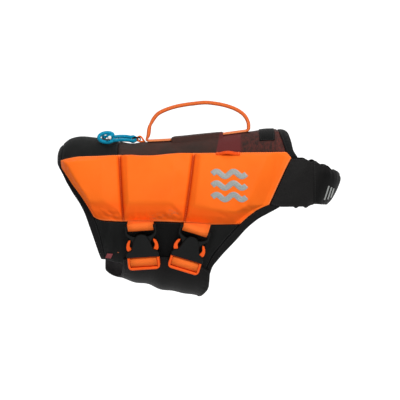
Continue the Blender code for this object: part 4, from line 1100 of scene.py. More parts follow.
# Each sheet as it was cut, both of a pair alike: its flat size in millimetres, and how
# much of that rectangle it fills.
CUTS = {
    "back_rear": (82.0, 122.0, 0.926),
    "back_front": (235.0, 131.0, 0.825),
    "flap": (204.0, 90.0, 0.585),
    "rear_tape": (430.0, 19.5, 0.472),
    "neck_tape": (149.0, 15.0, 0.867),
    "leg_tape": (143.0, 15.6, 0.655),
    "collar_wing": (100.0, 74.0, 0.574),
    "collar_front": (151.0, 61.0, 0.79),
    "belly_panel": (143.0, 183.0, 0.824),
    "handle_sleeve": (73.0, 48.0, 0.99),
    "back_label": (21.5, 93.0, 0.996),
}


def cut(piece):
    """Reads the flat size that a piece's sheet was cut to, from the table."""
    name = piece.name.removesuffix("_shell").removesuffix("_right").removesuffix("_left")
    width, length, share = CUTS[name]


FLOAT_TIMES = (6, 7)  # how much finer the float's rows and columns are than its solid's
SEWN_EDGE = 2.6  # the flat edge of the cover, outside a slab, that its seams take up
FLOAT_CREASES = {
    "right": (
        (-2.0, -86.0, 14.0, -104.0, 1.5, 3.2, -1.3),
        (-9.0, -92.0, 2.0, -107.0, 1.0, 2.6, 0.9),
        (-28.0, -98.0, -10.0, -107.0, 1.0, 2.4, -0.8),
        (92.0, -80.0, 112.0, -100.0, 2.0, 3.0, 1.0),
        (97.0, -84.0, 118.0, -97.0, 2.0, 2.6, -1.2),
        (40.0, -34.0, 62.0, -28.0, 1.0, 3.0, -0.7),
        (-66.0, -40.0, -60.0, -86.0, 1.5, 3.0, 0.6),
        (-112.0, -84.0, -86.0, -100.0, 2.0, 4.0, -0.8),
        (-128.0, -62.0, -108.0, -74.0, 1.0, 3.4, 0.7),
        (147.6, -26.0, 146.2, -44.0, 0.6, 1.8, -1.6),
        (-93.0, -100.5, -71.0, -107.5, 1.0, 2.0, -1.2),
        (-20.0, -34.0, 8.0, -50.0, 2.0, 4.0, -0.5),
        (-97.0, -91.0, -79.0, -103.5, 1.0, 1.8, 1.0),
        (-89.0, -95.0, -68.0, -100.0, -1.0, 1.7, -1.0),
        (-25.0, -99.0, -8.0, -106.5, 1.0, 1.6, 0.9),
        (-13.0, -97.0, 6.0, -108.0, -1.0, 1.6, -1.1),
        (1.0, -99.0, 15.0, -107.0, 1.0, 1.5, 0.9),
        (-16.0, -103.0, -4.0, -99.0, 0.5, 1.4, 0.7),
        (62.0, -96.0, 84.0, -108.0, 1.5, 2.0, -0.8),
    ),
    "left": (
        (-6.0, -90.0, 12.0, -105.0, 1.5, 3.4, -1.1),
        (-52.0, -88.0, -30.0, -106.0, 1.0, 3.0, -0.9),
        (88.0, -78.0, 110.0, -102.0, -2.0, 3.4, -1.1),
        (44.0, -30.0, 70.0, -38.0, 1.5, 3.0, 0.7),
        (-106.0, -78.0, -88.0, -100.0, 1.5, 3.6, -0.8),
        (-128.0, -50.0, -108.0, -44.0, 1.0, 3.0, 0.6),
    ),
}


def float_patch(row_times=1, column_times=1):
    """The float's three cells as one patch of (x, angle), with each cell's columns."""
    top, bottom = line_at(FLOAT_TOP), line_at(FLOAT_BOTTOM)
    rows, columns = finer(FLOAT_ROWS, row_times), finer(CELL_COLUMNS, column_times)
    tops = (FLOAT_TOP[0][0], *GROOVE_TOPS, FLOAT_TOP[-1][0])
    bottoms = (FLOAT_BOTTOM[0][0], *GROOVE_BOTTOMS, FLOAT_BOTTOM[-1][0])
    corners = (0.0, FLOAT_ROWS[COLLAR_TOP_ROW], *FLOAT_ROWS[COLLAR_BOTTOM_ROW:])
    sides = [edge(REAR_SEAM[1:9])(rows)]
    for a, b in zip(GROOVE_TOPS, GROOVE_BOTTOMS):
        sides.append(between(top(a)[None], bottom(b)[None], rows)[0])
    sides.append(edge(FLOAT_FRONT, corners)(rows))
    patches = []
    for cell in range(3):
        above = top(tops[cell] + (tops[cell + 1] - tops[cell]) * columns)
        below = bottom(bottoms[cell] + (bottoms[cell + 1] - bottoms[cell]) * columns)
        patches.append(coons(sides[cell], sides[cell + 1], above, below))
    return patches


# How each slab's edges fall to their seams: how far in the knee is, its share of the
# thickness, and how far in the slab has its full thickness.
CELL_BEVELS = (
    {
        "rear": (6.0, 0.5, 12.0), "front": (4.6, 0.52, 24.0),
        "top": (4.5, 0.55, 11.0), "bottom": (12.0, 0.5, 28.0),
    },
    {
        "rear": (3.8, 0.52, 10.0), "front": (4.2, 0.52, 24.0),
        "top": (4.5, 0.55, 10.0), "bottom": (11.0, 0.55, 24.0),
    },
    {
        "rear": (3.8, 0.52, 11.0), "front": (12.0, 0.5, 24.0),
        "top": (4.5, 0.55, 10.0), "bottom": (11.0, 0.54, 24.0),
    },
)
CREASE_SOFTNESS = 0.03  # how far a slab's creases are rounded, as a share of its thickness


def soft_least(values, softness):
    """The least of some fields, with the creases between them rounded."""
    values = np.stack(values)
    least = values.min(axis=0)
    return least - softness * np.log(np.exp(-(values - least) / softness).sum(axis=0))


def bevel(distance, knee, knee_share, width):
    near = distance * knee_share / knee
    far = knee_share + (distance - knee) * (1 - knee_share) / (width - knee)
    return np.minimum(near, far)


def cell_wall(grid, cell, seed):
    """A cell's wall: its foam slab's bevels, and the puckers along what holds it."""
    behind, ahead, over, under = margins(grid)
    low = (FOAM_GROOVE - FOAM_SEAM) / (FOAM - FOAM_SEAM)
    away = {"rear": behind, "front": ahead - FLAT_FRONT[cell], "top": over, "bottom": under}
    grooved = ("rear",) * (cell > 0) + ("front",) * (cell < 2)
    falls = []
    for side, distance in away.items():
        start = 0.0 if side in grooved else SEWN_EDGE
        fall = bevel(np.maximum(distance - start, 0), *CELL_BEVELS[cell][side])
        falls.append(low + (1 - low) * fall if side in grooved else fall)
    slab = soft_least([np.ones(behind.shape), *falls], CREASE_SOFTNESS)
    wall = FOAM_SEAM + (FOAM - FOAM_SEAM) * np.maximum(slab, 0.0)
    puckers = (
        (behind, over, 0.3, 8.0, SEWN_EDGE),
        (behind, under, 0.75, 13.0, SEWN_EDGE),
        (over, behind, 0.4, 8.0, 0.8),
        (over, ahead, 0.4, 9.0, 0.8),
    )
    for k, (run, distance, depth, reach, start) in enumerate(puckers):
        wall += gathers(run, distance, depth, reach, seed + k, start)
    return wall


GROOVE_SHADE_LINE, GROOVE_SHADE_STARTS = 3.3, (3.0, 9.0)  # half the width of the painted shade line in a groove, and where it starts below the seam
SEAM_HIGHLIGHT_LINE = (1.1, 1.3)  # a painted highlight line's distance from the edge, and half its width


def cell_tones(grid, cell):
    """Where a cell's cover gets painted shade in its grooves, a painted highlight by its seams,
    and a redder painted shade low on its slope.
    """
    behind, ahead, over, under = margins(grid)
    groove_shade = np.maximum(
        bump(behind, 0, GROOVE_SHADE_LINE) * (cell > 0), bump(ahead, 0, GROOVE_SHADE_LINE) * (cell < 2)
    )
    groove_shade = groove_shade * smooth(over, (0.0, *GROOVE_SHADE_STARTS), (0.0, 0.0, 1.0))
    edges = np.minimum(over, under)
    if cell == 0:
        edges = np.minimum(edges, behind)
    if cell == 2:
        edges = np.minimum(edges, ahead)
    # painted shade, redder, over the slab's low bevel
    wide = CELL_BEVELS[cell]["bottom"][2]
    slope = smooth(under, (0.0, 0.75 * wide, 1.1 * wide), (1.0, 1.0, 0.0))
    return groove_shade, bump(edges, *SEAM_HIGHLIGHT_LINE), slope


def joined(cells):
    """The cells' fields in one, without the columns that they share."""
    return np.concatenate([field[:-1] for field in cells[:-1]] + [cells[-1]])


def make_floats():
    """Each float's cover over its three slabs, black inside, with its stitch lines."""
    patches = float_patch(*FLOAT_TIMES)
    fields = zip(*(cell_tones(on_body(patch), cell) for cell, patch in enumerate(patches)))
    # The tones paint light: shade in the grooves, a highlight along the seams, and a redder shade
    # on the low slopes.
    tones = {name: joined(field) for name, field in zip(("groove", "seam", "slope"), fields)}
    walls = [cell_wall(on_body(patch), cell, 1.7 * cell) for cell, patch in enumerate(patches)]
    wall = joined(walls)
    grid = seamed(on_body(joined(patches)))
    for side, far in SIDES:
        relief = wall - FOAM_SEAM + creases(grid, FLOAT_CREASES[side])
        made = shell(
            f"float_{side}", grid, FOAM_SEAM, "float_orange", "lit_lining", relief=relief, far=far,
            tones=tones,
        )
        hem("thread_orange", made, "tblr", 1.5, far)
        for groove in (1, 2):
            k = groove * (len(patches[0]) - 1)
            sew("thread_orange", made[1][k], made[2][k], far=far)
        SURFACES[f"float_{side}"] = made


def flap_patch(row_times=1, column_times=1):
    below = line_at(FLAP_BOTTOM)
    above = joined([patch[:, -1] for patch in float_patch(1, column_times)])
    first, last = above[0, 0], above[-1, 0]
    foot, toe = FLAP_BOTTOM[0][0], FLAP_BOTTOM[-1][0]
    rows = np.linspace(0, 1, (FLAP_ROWS - 1) * row_times + 1)
    return coons(
        edge(REAR_SEAM[8:])(rows),
        edge(FLAP_FRONT)(rows),
        above,
        below(foot + (toe - foot) * (above[:, 0] - first) / (last - first)),
    )


FLAP_TIMES = (10, 4)
FLAP_SHADE = ((-70.0, 0.1), (-46.0, 0.4), (-20.0, 0.95), (8.0, 0.95), (30.0, 0.5), (70.0, 0.15))
FLAP_CREASES = {
    "right": (
        (-84.0, -112.0, -92.0, -152.0, 1.0, 3.4, 1.0),
        (-72.0, -114.0, -76.0, -160.0, -1.0, 3.0, -0.9),
        (0.0, -114.0, -2.0, -150.0, 1.0, 4.0, -1.0),
        (66.0, -118.0, 50.0, -158.0, 2.0, 3.4, 1.0),
        (60.0, -116.0, 38.0, -150.0, 2.0, 3.0, -0.9),
    ),
    "left": (
        (-80.0, -112.0, -86.0, -158.0, 1.0, 3.6, 0.9),
        (-40.0, -114.0, -50.0, -160.0, 2.0, 4.0, -0.8),
        (14.0, -114.0, 4.0, -164.0, -2.0, 4.0, 0.8),
        (58.0, -118.0, 40.0, -160.0, 2.0, 3.6, -0.9),
    ),
}


def make_flaps():
    grid = seamed(on_body(flap_patch(*FLAP_TIMES)), sides="lrt")
    for side, far in SIDES:
        lift = 0.5 * seam_relief(grid, 0.8, 9.0, 3.3) + creases(grid, FLAP_CREASES[side])
        inside = ramp(np.min(margins(grid), axis=0), 6.0)
        # painted shadow on the flap, darkest between the buckles
        fold = table(grid[..., 0], FLAP_SHADE)[0]
        made = shell(
            f"flap_{side}", grid, CLOTH, "shell_black", "lit_lining",
            lift=np.clip(lift, -0.8, 1.6) * inside, far=far, tones={"dark": fold},
        )
        hem("thread_black", made, "tlr", 2.2, far)
        cut(made[0])


# ---------------------------------------------------------------- tapes

TAPE_ACROSS = np.array([0.0, 0.06, 0.16, 0.3, 0.5, 0.7, 0.84, 0.94, 1.0])
TAPE_SHAPE = np.array([0.5, 0.82, 0.72, 0.98, 1.04, 1.0, 0.92, 0.7, 0.42])  # of its thickness


def tape(name, inner, outer, far=False, seed=0.0):
    """Elastic tape folded over an edge: ruched a little, rounded at the open edge."""
    along = lengths(bare_body(inner[:, 0], inner[:, 1]))
    grid = seamed(on_body(between(inner, outer(along / along[-1]), TAPE_ACROSS)), sides="t")
    run = lengths(grid[:, 4])[:, None]
    ruche = 0.16 * ripple(run * 1.3, seed) * (0.4 + bump(TAPE_ACROSS, 0.45, 0.6))[None, :]
    obj, outer_face, out = shell(
        name, grid, TAPE * TAPE_SHAPE[None, :] / 1.04, "tape_black", relief=ruche, far=far
    )
    sew("thread_black", outer_face[:, 2], out[:, 2], pitch=2.9, far=far)
    cut(obj)


def rows_finer(rows, times):
    """A line's rows of (x, angle), with each step between two cut into equal parts."""
    fine = np.linspace(0, len(rows) - 1, (len(rows) - 1) * times + 1)
    return read_line(fine, np.arange(len(rows)), rows)


def make_tapes():
    patches, flap = float_patch(3, 1), flap_patch(3, 1)
    share = np.linspace(0, 1, 3 * BACK_ROWS)
    seam = patches[0][0, 0, 1]
    upper = stack(seam_x(REAR_SEAM[:2])(share), seam * share)
    rear = np.concatenate([upper, patches[0][0, 1:], flap[0, 1:]])
    edge_of = lambda rows: lambda t: over_spine_at(edge(rows), t)
    tape("rear_tape", over_spine(rows_finer(rear, 3)), edge_of(REAR_EDGE), seed=0.3)
    neck = edge(NECK_SEAM)(np.linspace(0, 1, 61))
    tape("neck_tape", over_spine(neck), edge_of(NECK_EDGE), seed=1.3)
    leg = np.concatenate([patches[2][-1, 3 * COLLAR_BOTTOM_ROW :], flap[-1, 1:]])
    for side, far in SIDES:
        tape(f"leg_tape_{side}", rows_finer(leg, 3), edge(LEG_EDGE), far=far, seed=2.3)


# ---------------------------------------------------------------- collar and belly


def collar_seam(share):
    (x0, z0), (x1, z1) = COLLAR_SEAM
    x, z = x0 + (x1 - x0) * share, z0 + (z1 - z0) * share
    return body(x, angle_at(x, z))


def collar_point(turn, share, off=0.0):
    """A point of the collar: turn 0 on the near seam, 90 in front, 180 on the far one."""
    turn, share = np.broadcast_arrays(np.asarray(turn, float), np.asarray(share, float))
    seam = collar_seam(share)
    front_x, front_z = table(share, COLLAR_FRONT)
    sine, cosine = np.abs(np.sin(np.radians(turn))), np.cos(np.radians(turn))
    x = seam[..., 0] + (front_x - seam[..., 0]) * sine**COLLAR_ROUNDNESS
    y = seam[..., 1] * signed_power(cosine, COLLAR_ROUNDNESS)
    z = seam[..., 2] + (front_z - seam[..., 2]) * sine**COLLAR_FALL
    crest, long, high = COLLAR_WAVE
    wave = bump(share, 0, 0.3) * np.cos((x - crest) * 2 * math.pi / long)
    z = z + high * wave * np.clip((x - WAVES_FROM) / WAVES_RISE, 0, 1)
    z = z - table(x, COLLAR_DROPS)[0] * share**4
    z = z - sum(2.2 * bump(x, place, 3.6) for place in COLLAR_TUFTS) * share**12
    point = stack(x, y, z)
    if not np.any(off):
        return point
    ahead = collar_point(turn + 0.5, share) - collar_point(turn - 0.5, share)
    down = collar_point(turn, share + 0.01) - collar_point(turn, share - 0.01)
    normal = unit(np.cross(ahead, down))
    normal *= np.sign(normal[..., 1] * point[..., 1] + normal[..., 0] * 60)[..., None]
    return point + normal * np.asarray(off, float)[..., None]


def collar_turn(x, share):
    """The turn at which the collar reaches x."""
    seam, front = collar_seam(share)[..., 0], table(share, COLLAR_FRONT)[0]
    part = np.clip((x - seam) / (front - seam), 0, 1) ** (1 / COLLAR_ROUNDNESS)
    return np.degrees(np.arcsin(part))


COLLAR_CREASES = (
    (172.0, -52.0, 196.0, -34.0, 2.0, 5.0, 0.7),
    (166.0, -68.0, 192.0, -58.0, 2.0, 5.0, -0.6),
    (160.0, -80.0, 196.0, -76.0, -2.0, 4.0, 0.6),
)


def make_collar():
    """Two wings with soft waves, and the strap that laps over them in front."""
    share = finer(COLLAR_ROWS, 5)
    join = collar_turn(COLLAR_JOIN + COLLAR_LAP, share)
    wing = np.linspace(0, 1, 65)[:, None] * join[None, :]
    grid = seamed(collar_point(wing, share[None, :] + np.zeros_like(wing)), sides="l")
    left, right, top, bottom = margins(grid)
    relief = gathers(top, left, 0.7, 10.0, 1.1) + gathers(left, top, 0.4, 7.0, 2.5)
    relief += gathers(left, bottom, 0.4, 7.0, 3.5)
    for side, far in SIDES:
        lift = creases(grid, COLLAR_CREASES) * (1.0 if not far else 0.8)
        made = shell(
            f"collar_wing_{side}", grid, NEOPRENE, "neoprene_black", relief=relief + lift, far=far
        )
        hem("thread_black", made, "tb", 3.4, far)
        sew("thread_black", *inset(made[1], made[2], "l", 2.0), far=far)
        cut(made[0])
    share = finer(COLLAR_ROWS[1:-1], 6)
    start = collar_turn(COLLAR_JOIN, share)
    t = np.linspace(0, 1, 161)[:, None]
    strap = start[None, :] + (180 - 2 * start)[None, :] * t
    share = np.broadcast_to(share[None, :], strap.shape)
    left, right, top, bottom = margins(collar_point(strap, share))
    lap = ramp(np.minimum(left, right), LAP_FADE)
    grid = collar_point(strap, share, NEOPRENE - SUNK + (LAYER_GAP + SUNK) * lap)
    rolled = 0.7 * (bump(top, 1.6, 2.6) + bump(bottom, 1.6, 2.6)) * (1 + 0.35 * ripple(left))
    waves = gathers(left, top, 0.7, 9.0, 0.9, 3.0) + gathers(left, bottom, 0.6, 9.0, 4.1, 3.0)
    lapped = np.minimum(left, right) + 0.35 * (top - 40)
    dark = table(top, COLLAR_SHADE)[0] * smooth(lapped, (-8.0, 8.0), (0.0, 1.0))
    thick = NEOPRENE * (0.25 + 0.75 * lap)
    made = shell(
        "collar_front", grid, thick, "neoprene_black", relief=(rolled + waves) * lap,
        tones={"dark": dark},
    )
    hem("thread_black", made, "lr", 2.2)
    hem("thread_black", made, "tb", 3.6)
    cut(made[0])
    SURFACES["collar_front"] = made


def make_belly():
    """One neoprene piece from the far flap, under the belly, to its lap on the near one."""
    t, u = (np.linspace(0, 1, count) for count in BELLY_COUNTS)
    near, far = line_at(BELLY_NEAR), line_at(BELLY_FAR)
    guess = 120 + 120 * t
    for _ in range(6):
        rear, front = table(guess, BELLY_ENDS)
        x = rear[None, :] + (front - rear)[None, :] * u[:, None]
        first, last = near(x)[..., 1], 360 - far(x)[..., 1]
        angle = first + (last - first) * t[None, :]
        guess = angle.mean(axis=0)
    grid = body(x, angle, BELLY_LIFT)
    left, right, top, _ = margins(grid)
    relief = 0.5 * (bump(left, 1.6, 2.6) + bump(right, 1.6, 2.6))
    relief += gathers(top, left, 0.5, 8.0, 0.2, 3.0)
    relief += gathers(top, right, 0.5, 8.0, 1.2, 3.0)
    made = shell(
        "belly_panel", grid, NEOPRENE, "neoprene_black", "lit_belly_lining", relief=relief,
        tones={"dark": 0.3},
    )
    hem("thread_black", made, "lr", 3.6)
    hem("thread_black", made, "tb", 2.4)
    cut(made[0])
    SURFACES["belly_panel"] = made


# ---------------------------------------------------------------- handle and trims

HANDLE_STEPS = 150
# The share of its way over the back, its width and its thickness there.
HANDLE_SHAPE = (
    (0.0, 24.6, 3.3), (0.025, 23.4, 4.9), (0.055, 20.6, 5.7), (0.08, 17.8, 5.5),
    (0.112, 14.8, 4.4), (0.14, 13.4, 5.2), (0.18, 12.7, 5.5), (0.5, 12.4, 5.5), (0.85, 12.7, 5.4),
    (0.93, 16.0, 5.2), (1.0, 23.0, 5.0),
)
FOOT_THICK, FOOT_STEPS = 3.2, 30
CORNER_SHARES = np.linspace(0.15, 0.9, 7)  # the rings between a foot and its leg
ACROSS = (0.0, 1.0, 0.0)


def strip_rings(line, across, out, half_widths, half_thicks, power=3.4, count=28):
    """Rounded-rectangle sections of webbing along a line."""
    turn = full_turn(count)
    flat, tall = (signed_power(field, 2 / power) for field in (np.cos(turn), np.sin(turn)))
    return (
        line[:, None]
        + across[:, None] * flat[None, :, None] * half_widths[:, None, None]
        + out[:, None] * tall[None, :, None] * half_thicks[:, None, None]
    )


def strip(node, rings, finish, width):
    """A closed strip through rings of points, with cloth places along and across it."""
    count, around = rings.shape[:2]
    ids = np.arange(count * around).reshape(count, around)
    after = np.roll(ids, -1, 1)
    quads = stack(ids[:-1], after[:-1], after[1:], ids[1:]).reshape(-1, 4)
    middle = rings.mean(axis=1)
    corner, beside, beyond = rings[count // 2, 0], rings[count // 2, 1], rings[count // 2 + 1, 0]
    turned = np.cross(beside - corner, beyond - corner)
    if np.dot(turned, corner - middle[count // 2]) < 0:
        quads = quads[:, ::-1]
        caps = [ids[0].tolist(), ids[-1][::-1].tolist()]
    else:
        caps = [ids[0][::-1].tolist(), ids[-1].tolist()]
    places = np.empty((count, around, 2))
    places[..., 0] = lengths(middle)[:, None]
    places[..., 1] = np.cos(full_turn(around)) * width / 2
    faces = quads.tolist() + caps
    places = places.reshape(-1, 2)
    obj = mesh_object(node + "_strip", rings.reshape(-1, 3), faces, [finish], places=places)
    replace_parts(obj, node)
    return obj


def make_handle():
    """Webbing in one loop: flat on the back, up, folded narrow at the grip, and down again."""
    wide, thick = table(np.linspace(0, 1, HANDLE_STEPS), HANDLE_SHAPE)
    outer = evenly(HANDLE_LINE, HANDLE_STEPS)
    way = np.gradient(outer, axis=0)
    turn = np.unwrap(np.arctan2(way[:, 0], -way[:, 1]))
    turn += 2 * math.pi * (turn[0] < 0)
    inner = outer - stack(np.cos(turn), np.sin(turn)) * thick[:, None]
    level = lambda x: spine_point(x, 0.0, CLOTH + LAYER_GAP)[..., 2] + FOOT_THICK
    feet = []
    for foot, end, rise in zip(HANDLE_FEET, (0, -1), (-1, 1)):
        flat = np.linspace(foot, inner[end, 0] - rise, FOOT_STEPS)
        down = (0.5 - rise) * math.pi
        part = [(x, float(level(x)), down, FOOT_THICK, HANDLE_WIDTH, 1.0) for x in flat]
        first = np.array((flat[-1], level(inner[end, 0] - rise * 0.5), *part[0][2:]))
        last = np.array((*inner[end], turn[end], thick[end], wide[end], 0.0))
        for t in CORNER_SHARES:
            shares = np.array([t, t**2, t, t, t, t])
            part.append(first + (last - first) * shares)
        feet.append(part)
    legs = [(*point, *row, 0.0) for point, *row in zip(inner, turn, thick, wide)]
    x, z, turn, thick, wide, lying = np.array(feet[0] + legs + feet[1][::-1]).T
    out = stack(np.cos(turn), 0 * turn, np.sin(turn))
    middle = stack(x, 0 * x, z) + out * (thick / 2)[:, None]
    side = np.broadcast_to(ACROSS, middle.shape)
    rings = strip_rings(middle, side, out, wide / 2, thick / 2)
    slope = spine_point(rings[..., 0], rings[..., 1], 0.0) - spine_point(rings[..., 0], 0.0, 0.0)
    rings[..., 2] += slope[..., 2] * lying[:, None]
    obj = strip("handle", rings, "webbing_handle", HANDLE_WIDTH)
    # The flat feet take the lighter copy of the webbing: painted light.
    obj.data.materials.append(FINISHES["webbing_painted_light"])
    for face in obj.data.polygons:
        ring = min(face.vertices) // rings.shape[1]
        face.material_index = int(lying[ring] == 1.0)


def make_sleeve():
    """The cover over the middle of the handle's webbing, sewn down along its sides."""
    across = np.linspace(-SLEEVE_HALF, SLEEVE_HALF, 61)
    rise = HANDLE_THICK + 2 * LAYER_GAP + SLEEVE_SLACK
    inside = ramp(SLEEVE_HALF - np.abs(across) - SLEEVE_SEWN, SLEEVE_SLOPE).clip(0)
    lift = CLOTH - SUNK + (rise + SUNK) * inside
    x = np.linspace(*SLEEVE, 91)
    puckers = SLEEVE_PUCKER * bump(np.abs(across), 15.0, 5.0)  # along its two sewn sides
    lift = lift[None, :] + ripple(x / 1.6)[:, None] * puckers[None, :]
    grid = spine_point(x[:, None], across[None, :], lift)
    thin = 0.3 + 0.7 * ramp(SLEEVE_HALF - np.abs(across), 8.0)
    crown = table(x, SLEEVE_CROWN)[0]
    made = shell(
        "handle_sleeve", grid, SLEEVE_THICK * thin[None, :], "back_print",
        relief=crown[:, None] * bump(across, 0, SLEEVE_HALF)[None, :],
    )
    hem("thread_black", made, "tb", 1.6)
    hem("thread_black", made, "lr", 2.0)
    cut(made[0])


def make_label():
    start, end, half = LABEL
    across = np.linspace(-half, half, 61)
    grid = spine_point(np.linspace(start, end, 21)[:, None], across[None, :], CLOTH + LAYER_GAP)
    made = shell("back_label", grid, LABEL_THICK, "label_black")
    hem("thread_black", made, "lrtb", 1.4, pitch=2.6)
    cut(made[0])


def make_ring_loop():
    x, z = evenly((RING_LOOP_ROOT, *RING_LOOP_LINE), RING_LOOP_STEPS).T
    line = stack(x, 0 * x, z)
    side = np.broadcast_to(ACROSS, line.shape)
    out = np.cross(unit(np.gradient(line, axis=0)), side)
    half = RING_LOOP_THICK / 2 * RING_LOOP_FULLNESS
    widths, thicks = (np.full(len(line), value) for value in (RING_LOOP_WIDTH / 2, half))
    rings = strip_rings(line + out * half, side, out, widths, thicks)
    strip("ring_loop", rings, "webbing_orange", RING_LOOP_WIDTH)


def make_ring():
    middle, reach = (RING_REAR + RING_FRONT) / 2, (RING_FRONT - RING_REAR) / 2
    turn = full_turn(72)
    x = middle + reach * signed_power(np.cos(turn), RING_SQUARENESS)
    half = RING_HALF * signed_power(np.sin(turn), RING_SQUARENESS)
    lean = math.radians(RING_TILT)
    line = stack(x, half * math.cos(lean), RING_LEVEL - half * math.sin(lean))
    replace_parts(bar("ring", line, RING_WIRE / 2, "plastic_black", closed=True), "ring")


def knot_frame():
    """The knot's middle on the back, and its axes: forward, up and outwards."""
    sine, cosine = math.sin(math.radians(KNOT_LEAN)), math.cos(math.radians(KNOT_LEAN))
    axes = np.array([[1.0, 0.0, 0.0], [0.0, sine, cosine], [0.0, -cosine, sine]])
    return np.array(KNOT_PLACE), axes


def cord_line(upper):
    """A strand's points, from the bight in the ring to the knot."""
    lift = RING_WIRE / 2 + CORD / 2 + 0.3
    side = lift if upper else -lift
    lean = math.radians(RING_TILT)
    bight = [
        (
            RING_REAR + lift * math.cos(a),
            side * math.sin(a) * math.sin(lean),
            RING_LEVEL + side * math.sin(a) * math.cos(lean),
        )
        for a in np.radians(BIGHT_TURNS)
    ]
    rows = [*bight, *STRANDS[upper]]
    along = lengths(rows)
    last = len(bight) - 1
    rest = np.linspace(along[last], along[-1], 12)
    return smooth_line(rows, np.concatenate([along[:last], rest]))


CORD_ENDS = (  # by the knot's axes: forward, up and outwards
    ((4.6, -1.0, -1.0), (5.5, -3.6, 6.0)),
    ((-1.0, 2.0, -2.0), (-3.5, 4.5, -6.0)),
)
CORD_TIP = 1.4  # the length of its melted ends


def make_cord():
    """Two strands from the ring to a knot of the doubled cord, with its melted ends."""
    middle, axes = knot_frame()
    turn = full_turn(181)
    around = KNOT_LOOP + np.cos(turn)
    flat = stack(-around * np.cos(turn), around * np.sin(turn), np.sin(turn))
    low, high = flat.min(axis=0), flat.max(axis=0)
    flat = (flat - (low + high) / 2) * (np.array(KNOT_HALF) - KNOT_CORD / 2) * 2 / (high - low)
    flat[:, 1] += KNOT_RISE * ((1 - np.cos(turn)) / 2) ** 2
    line = middle + flat @ axes
    knots = [bar("cord_knot", line, KNOT_CORD / 2, "cord_blue", sides=16, closed=True)]
    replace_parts(knots[0], "cord_knot")
    for k, (start, end) in enumerate(CORD_ENDS, 1):
        points = middle + np.linspace(start, end, 3) @ axes
        knots.append(bar(f"cord_tail_{k}", points, CORD / 2 * 0.95, "cord_blue"))
        tip = np.array([points[-1], points[-1] + unit(points[-1] - points[-2]) * CORD_TIP])
        knots.append(bar(f"cord_tip_{k}", tip, CORD / 2 * 1.02, "cord_end"))
    for name, upper in (("cord_upper", True), ("cord_lower", False)):
        line = cord_line(upper)
        obj = bar(name, evenly(line, 90), CORD / 2, "cord_blue", sides=14)
        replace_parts(obj, name)
        lengths(line)[-1] * MM
        [tuple(p) for p in line * MM]


def make_lash_loops():
    """A short webbing loop on each side, sewn down at its ends and slack between."""
    x = np.linspace(*LASH, 61)
    patch, rows = float_patch(6, 6)[2], finer(FLOAT_ROWS, 6)
    fields = (patch[..., 0], patch[..., 1], cell_wall(on_body(patch), 2, 3.4))
    places, walls = [], []
    for share in np.linspace(*LASH_SHARES, 9):
        at, angles, wall = ([np.interp(share, rows, c) for c in field] for field in fields)
        places.append(stack(x, np.interp(x, at, angles)))
        walls.append(np.interp(x, at, wall))
    slack = bump(x, sum(LASH) / 2, (LASH[1] - LASH[0]) / 2 - LASH_SEWN)[:, None]
    lift = np.stack(walls, axis=1) + LAYER_GAP + LASH_RISE * slack
    grid = on_body(np.stack(places, axis=1), lift)
    for side, far in SIDES:
        made = shell(f"lash_loop_{side}", grid, LASH_THICK, "webbing_deep", far=far)
        hem("thread_orange", made, "lr", 2.0, far, pitch=2.6)


def make_side_tab():
    xs, zs = np.meshgrid(np.linspace(*TAB_X, 16), np.linspace(*TAB_Z, 14), indexing="ij")
    xs = xs + (zs - sum(TAB_Z) / 2) * TAB_SLANT
    grid = body(xs, angle_at(xs, zs), CLOTH + LAYER_GAP)
    shell("side_tab", grid, TAB_THICK, "tab_red", relief=0.5 * bump(zs, TAB_Z[0], 2.4))
    xs = np.linspace(*TACK_X, 12)
    tack = body(xs, angle_at(xs, TACK_Z), CLOTH)
    sew("thread_orange", tack, outward(xs, angle_at(xs, TACK_Z)), pitch=2.5)


# ---------------------------------------------------------------- buckles


def buckle_frame(place):
    """Where a buckle lies, as a matrix from (u, v, w)."""
    x, z, lean = place
    angle = angle_at(x, z)
    normal = Vector(outward(np.array(x), angle))
    up = Vector((0, 0, 1)) - normal * normal.z
    up.normalize()
    up.rotate(Matrix.Rotation(math.radians(lean), 3, -normal))
    across = up.cross(normal)
    rest = Vector(bare_body(np.array(x), angle))
    origin = rest + normal * BUCKLE_LIFT - up * BUCKLE_REST
    turn = Matrix((across, up, normal)).transposed().to_4x4()
    return Matrix.Translation(origin * MM) @ turn


def in_frame(frame, u, v, w):
    return np.array(frame @ Vector((u * MM, v * MM, w * MM))) / MM


def skin(frame, u, v, off):
    """The height in the buckle's frame of a layer that lies off the body."""
    w = 0.0
    normal = np.array(frame.col[2][:3])
    for _ in range(8):
        point = in_frame(frame, u, v, w)
        middle = float(section(point[0])[0])
        angle = math.degrees(math.atan2(-point[1], point[2] - middle))
        surface = body(point[0], angle, off)
        out = outward(point[0], angle)
        w -= float(np.dot(point - surface, out) / np.dot(normal, out))
    return w


def wrap(level, height, radius, start, end, count):
    """Points (v, w) of an arc round a bar, in degrees from +v to +w."""
    turns = np.radians(np.linspace(start, end, count))
    return [(level + radius * math.cos(a), height + radius * math.sin(a)) for a in turns]


def tangent(point, level, radius, side):
    """The angle on a bar at level where webbing from a point (v, w) meets it."""
    v, w = point[0] - level, point[1]
    reach = math.degrees(math.acos(min(1.0, radius / math.hypot(v, w))))
    return math.degrees(math.atan2(w, v)) + side * reach


def seam_level(frame, u):
    """How far up the buckle's frame the float's lower seam lies."""
    v = SEAM_GUESS
    for _ in range(6):
        point = in_frame(frame, u, v, skin(frame, u, v, CLOTH))
        seam = bare_body(*line_at(FLOAT_BOTTOM)(point[0]))
        v += float(seam[2] - TAB_CLEAR - point[2]) / (frame.col[1][2])
    return v


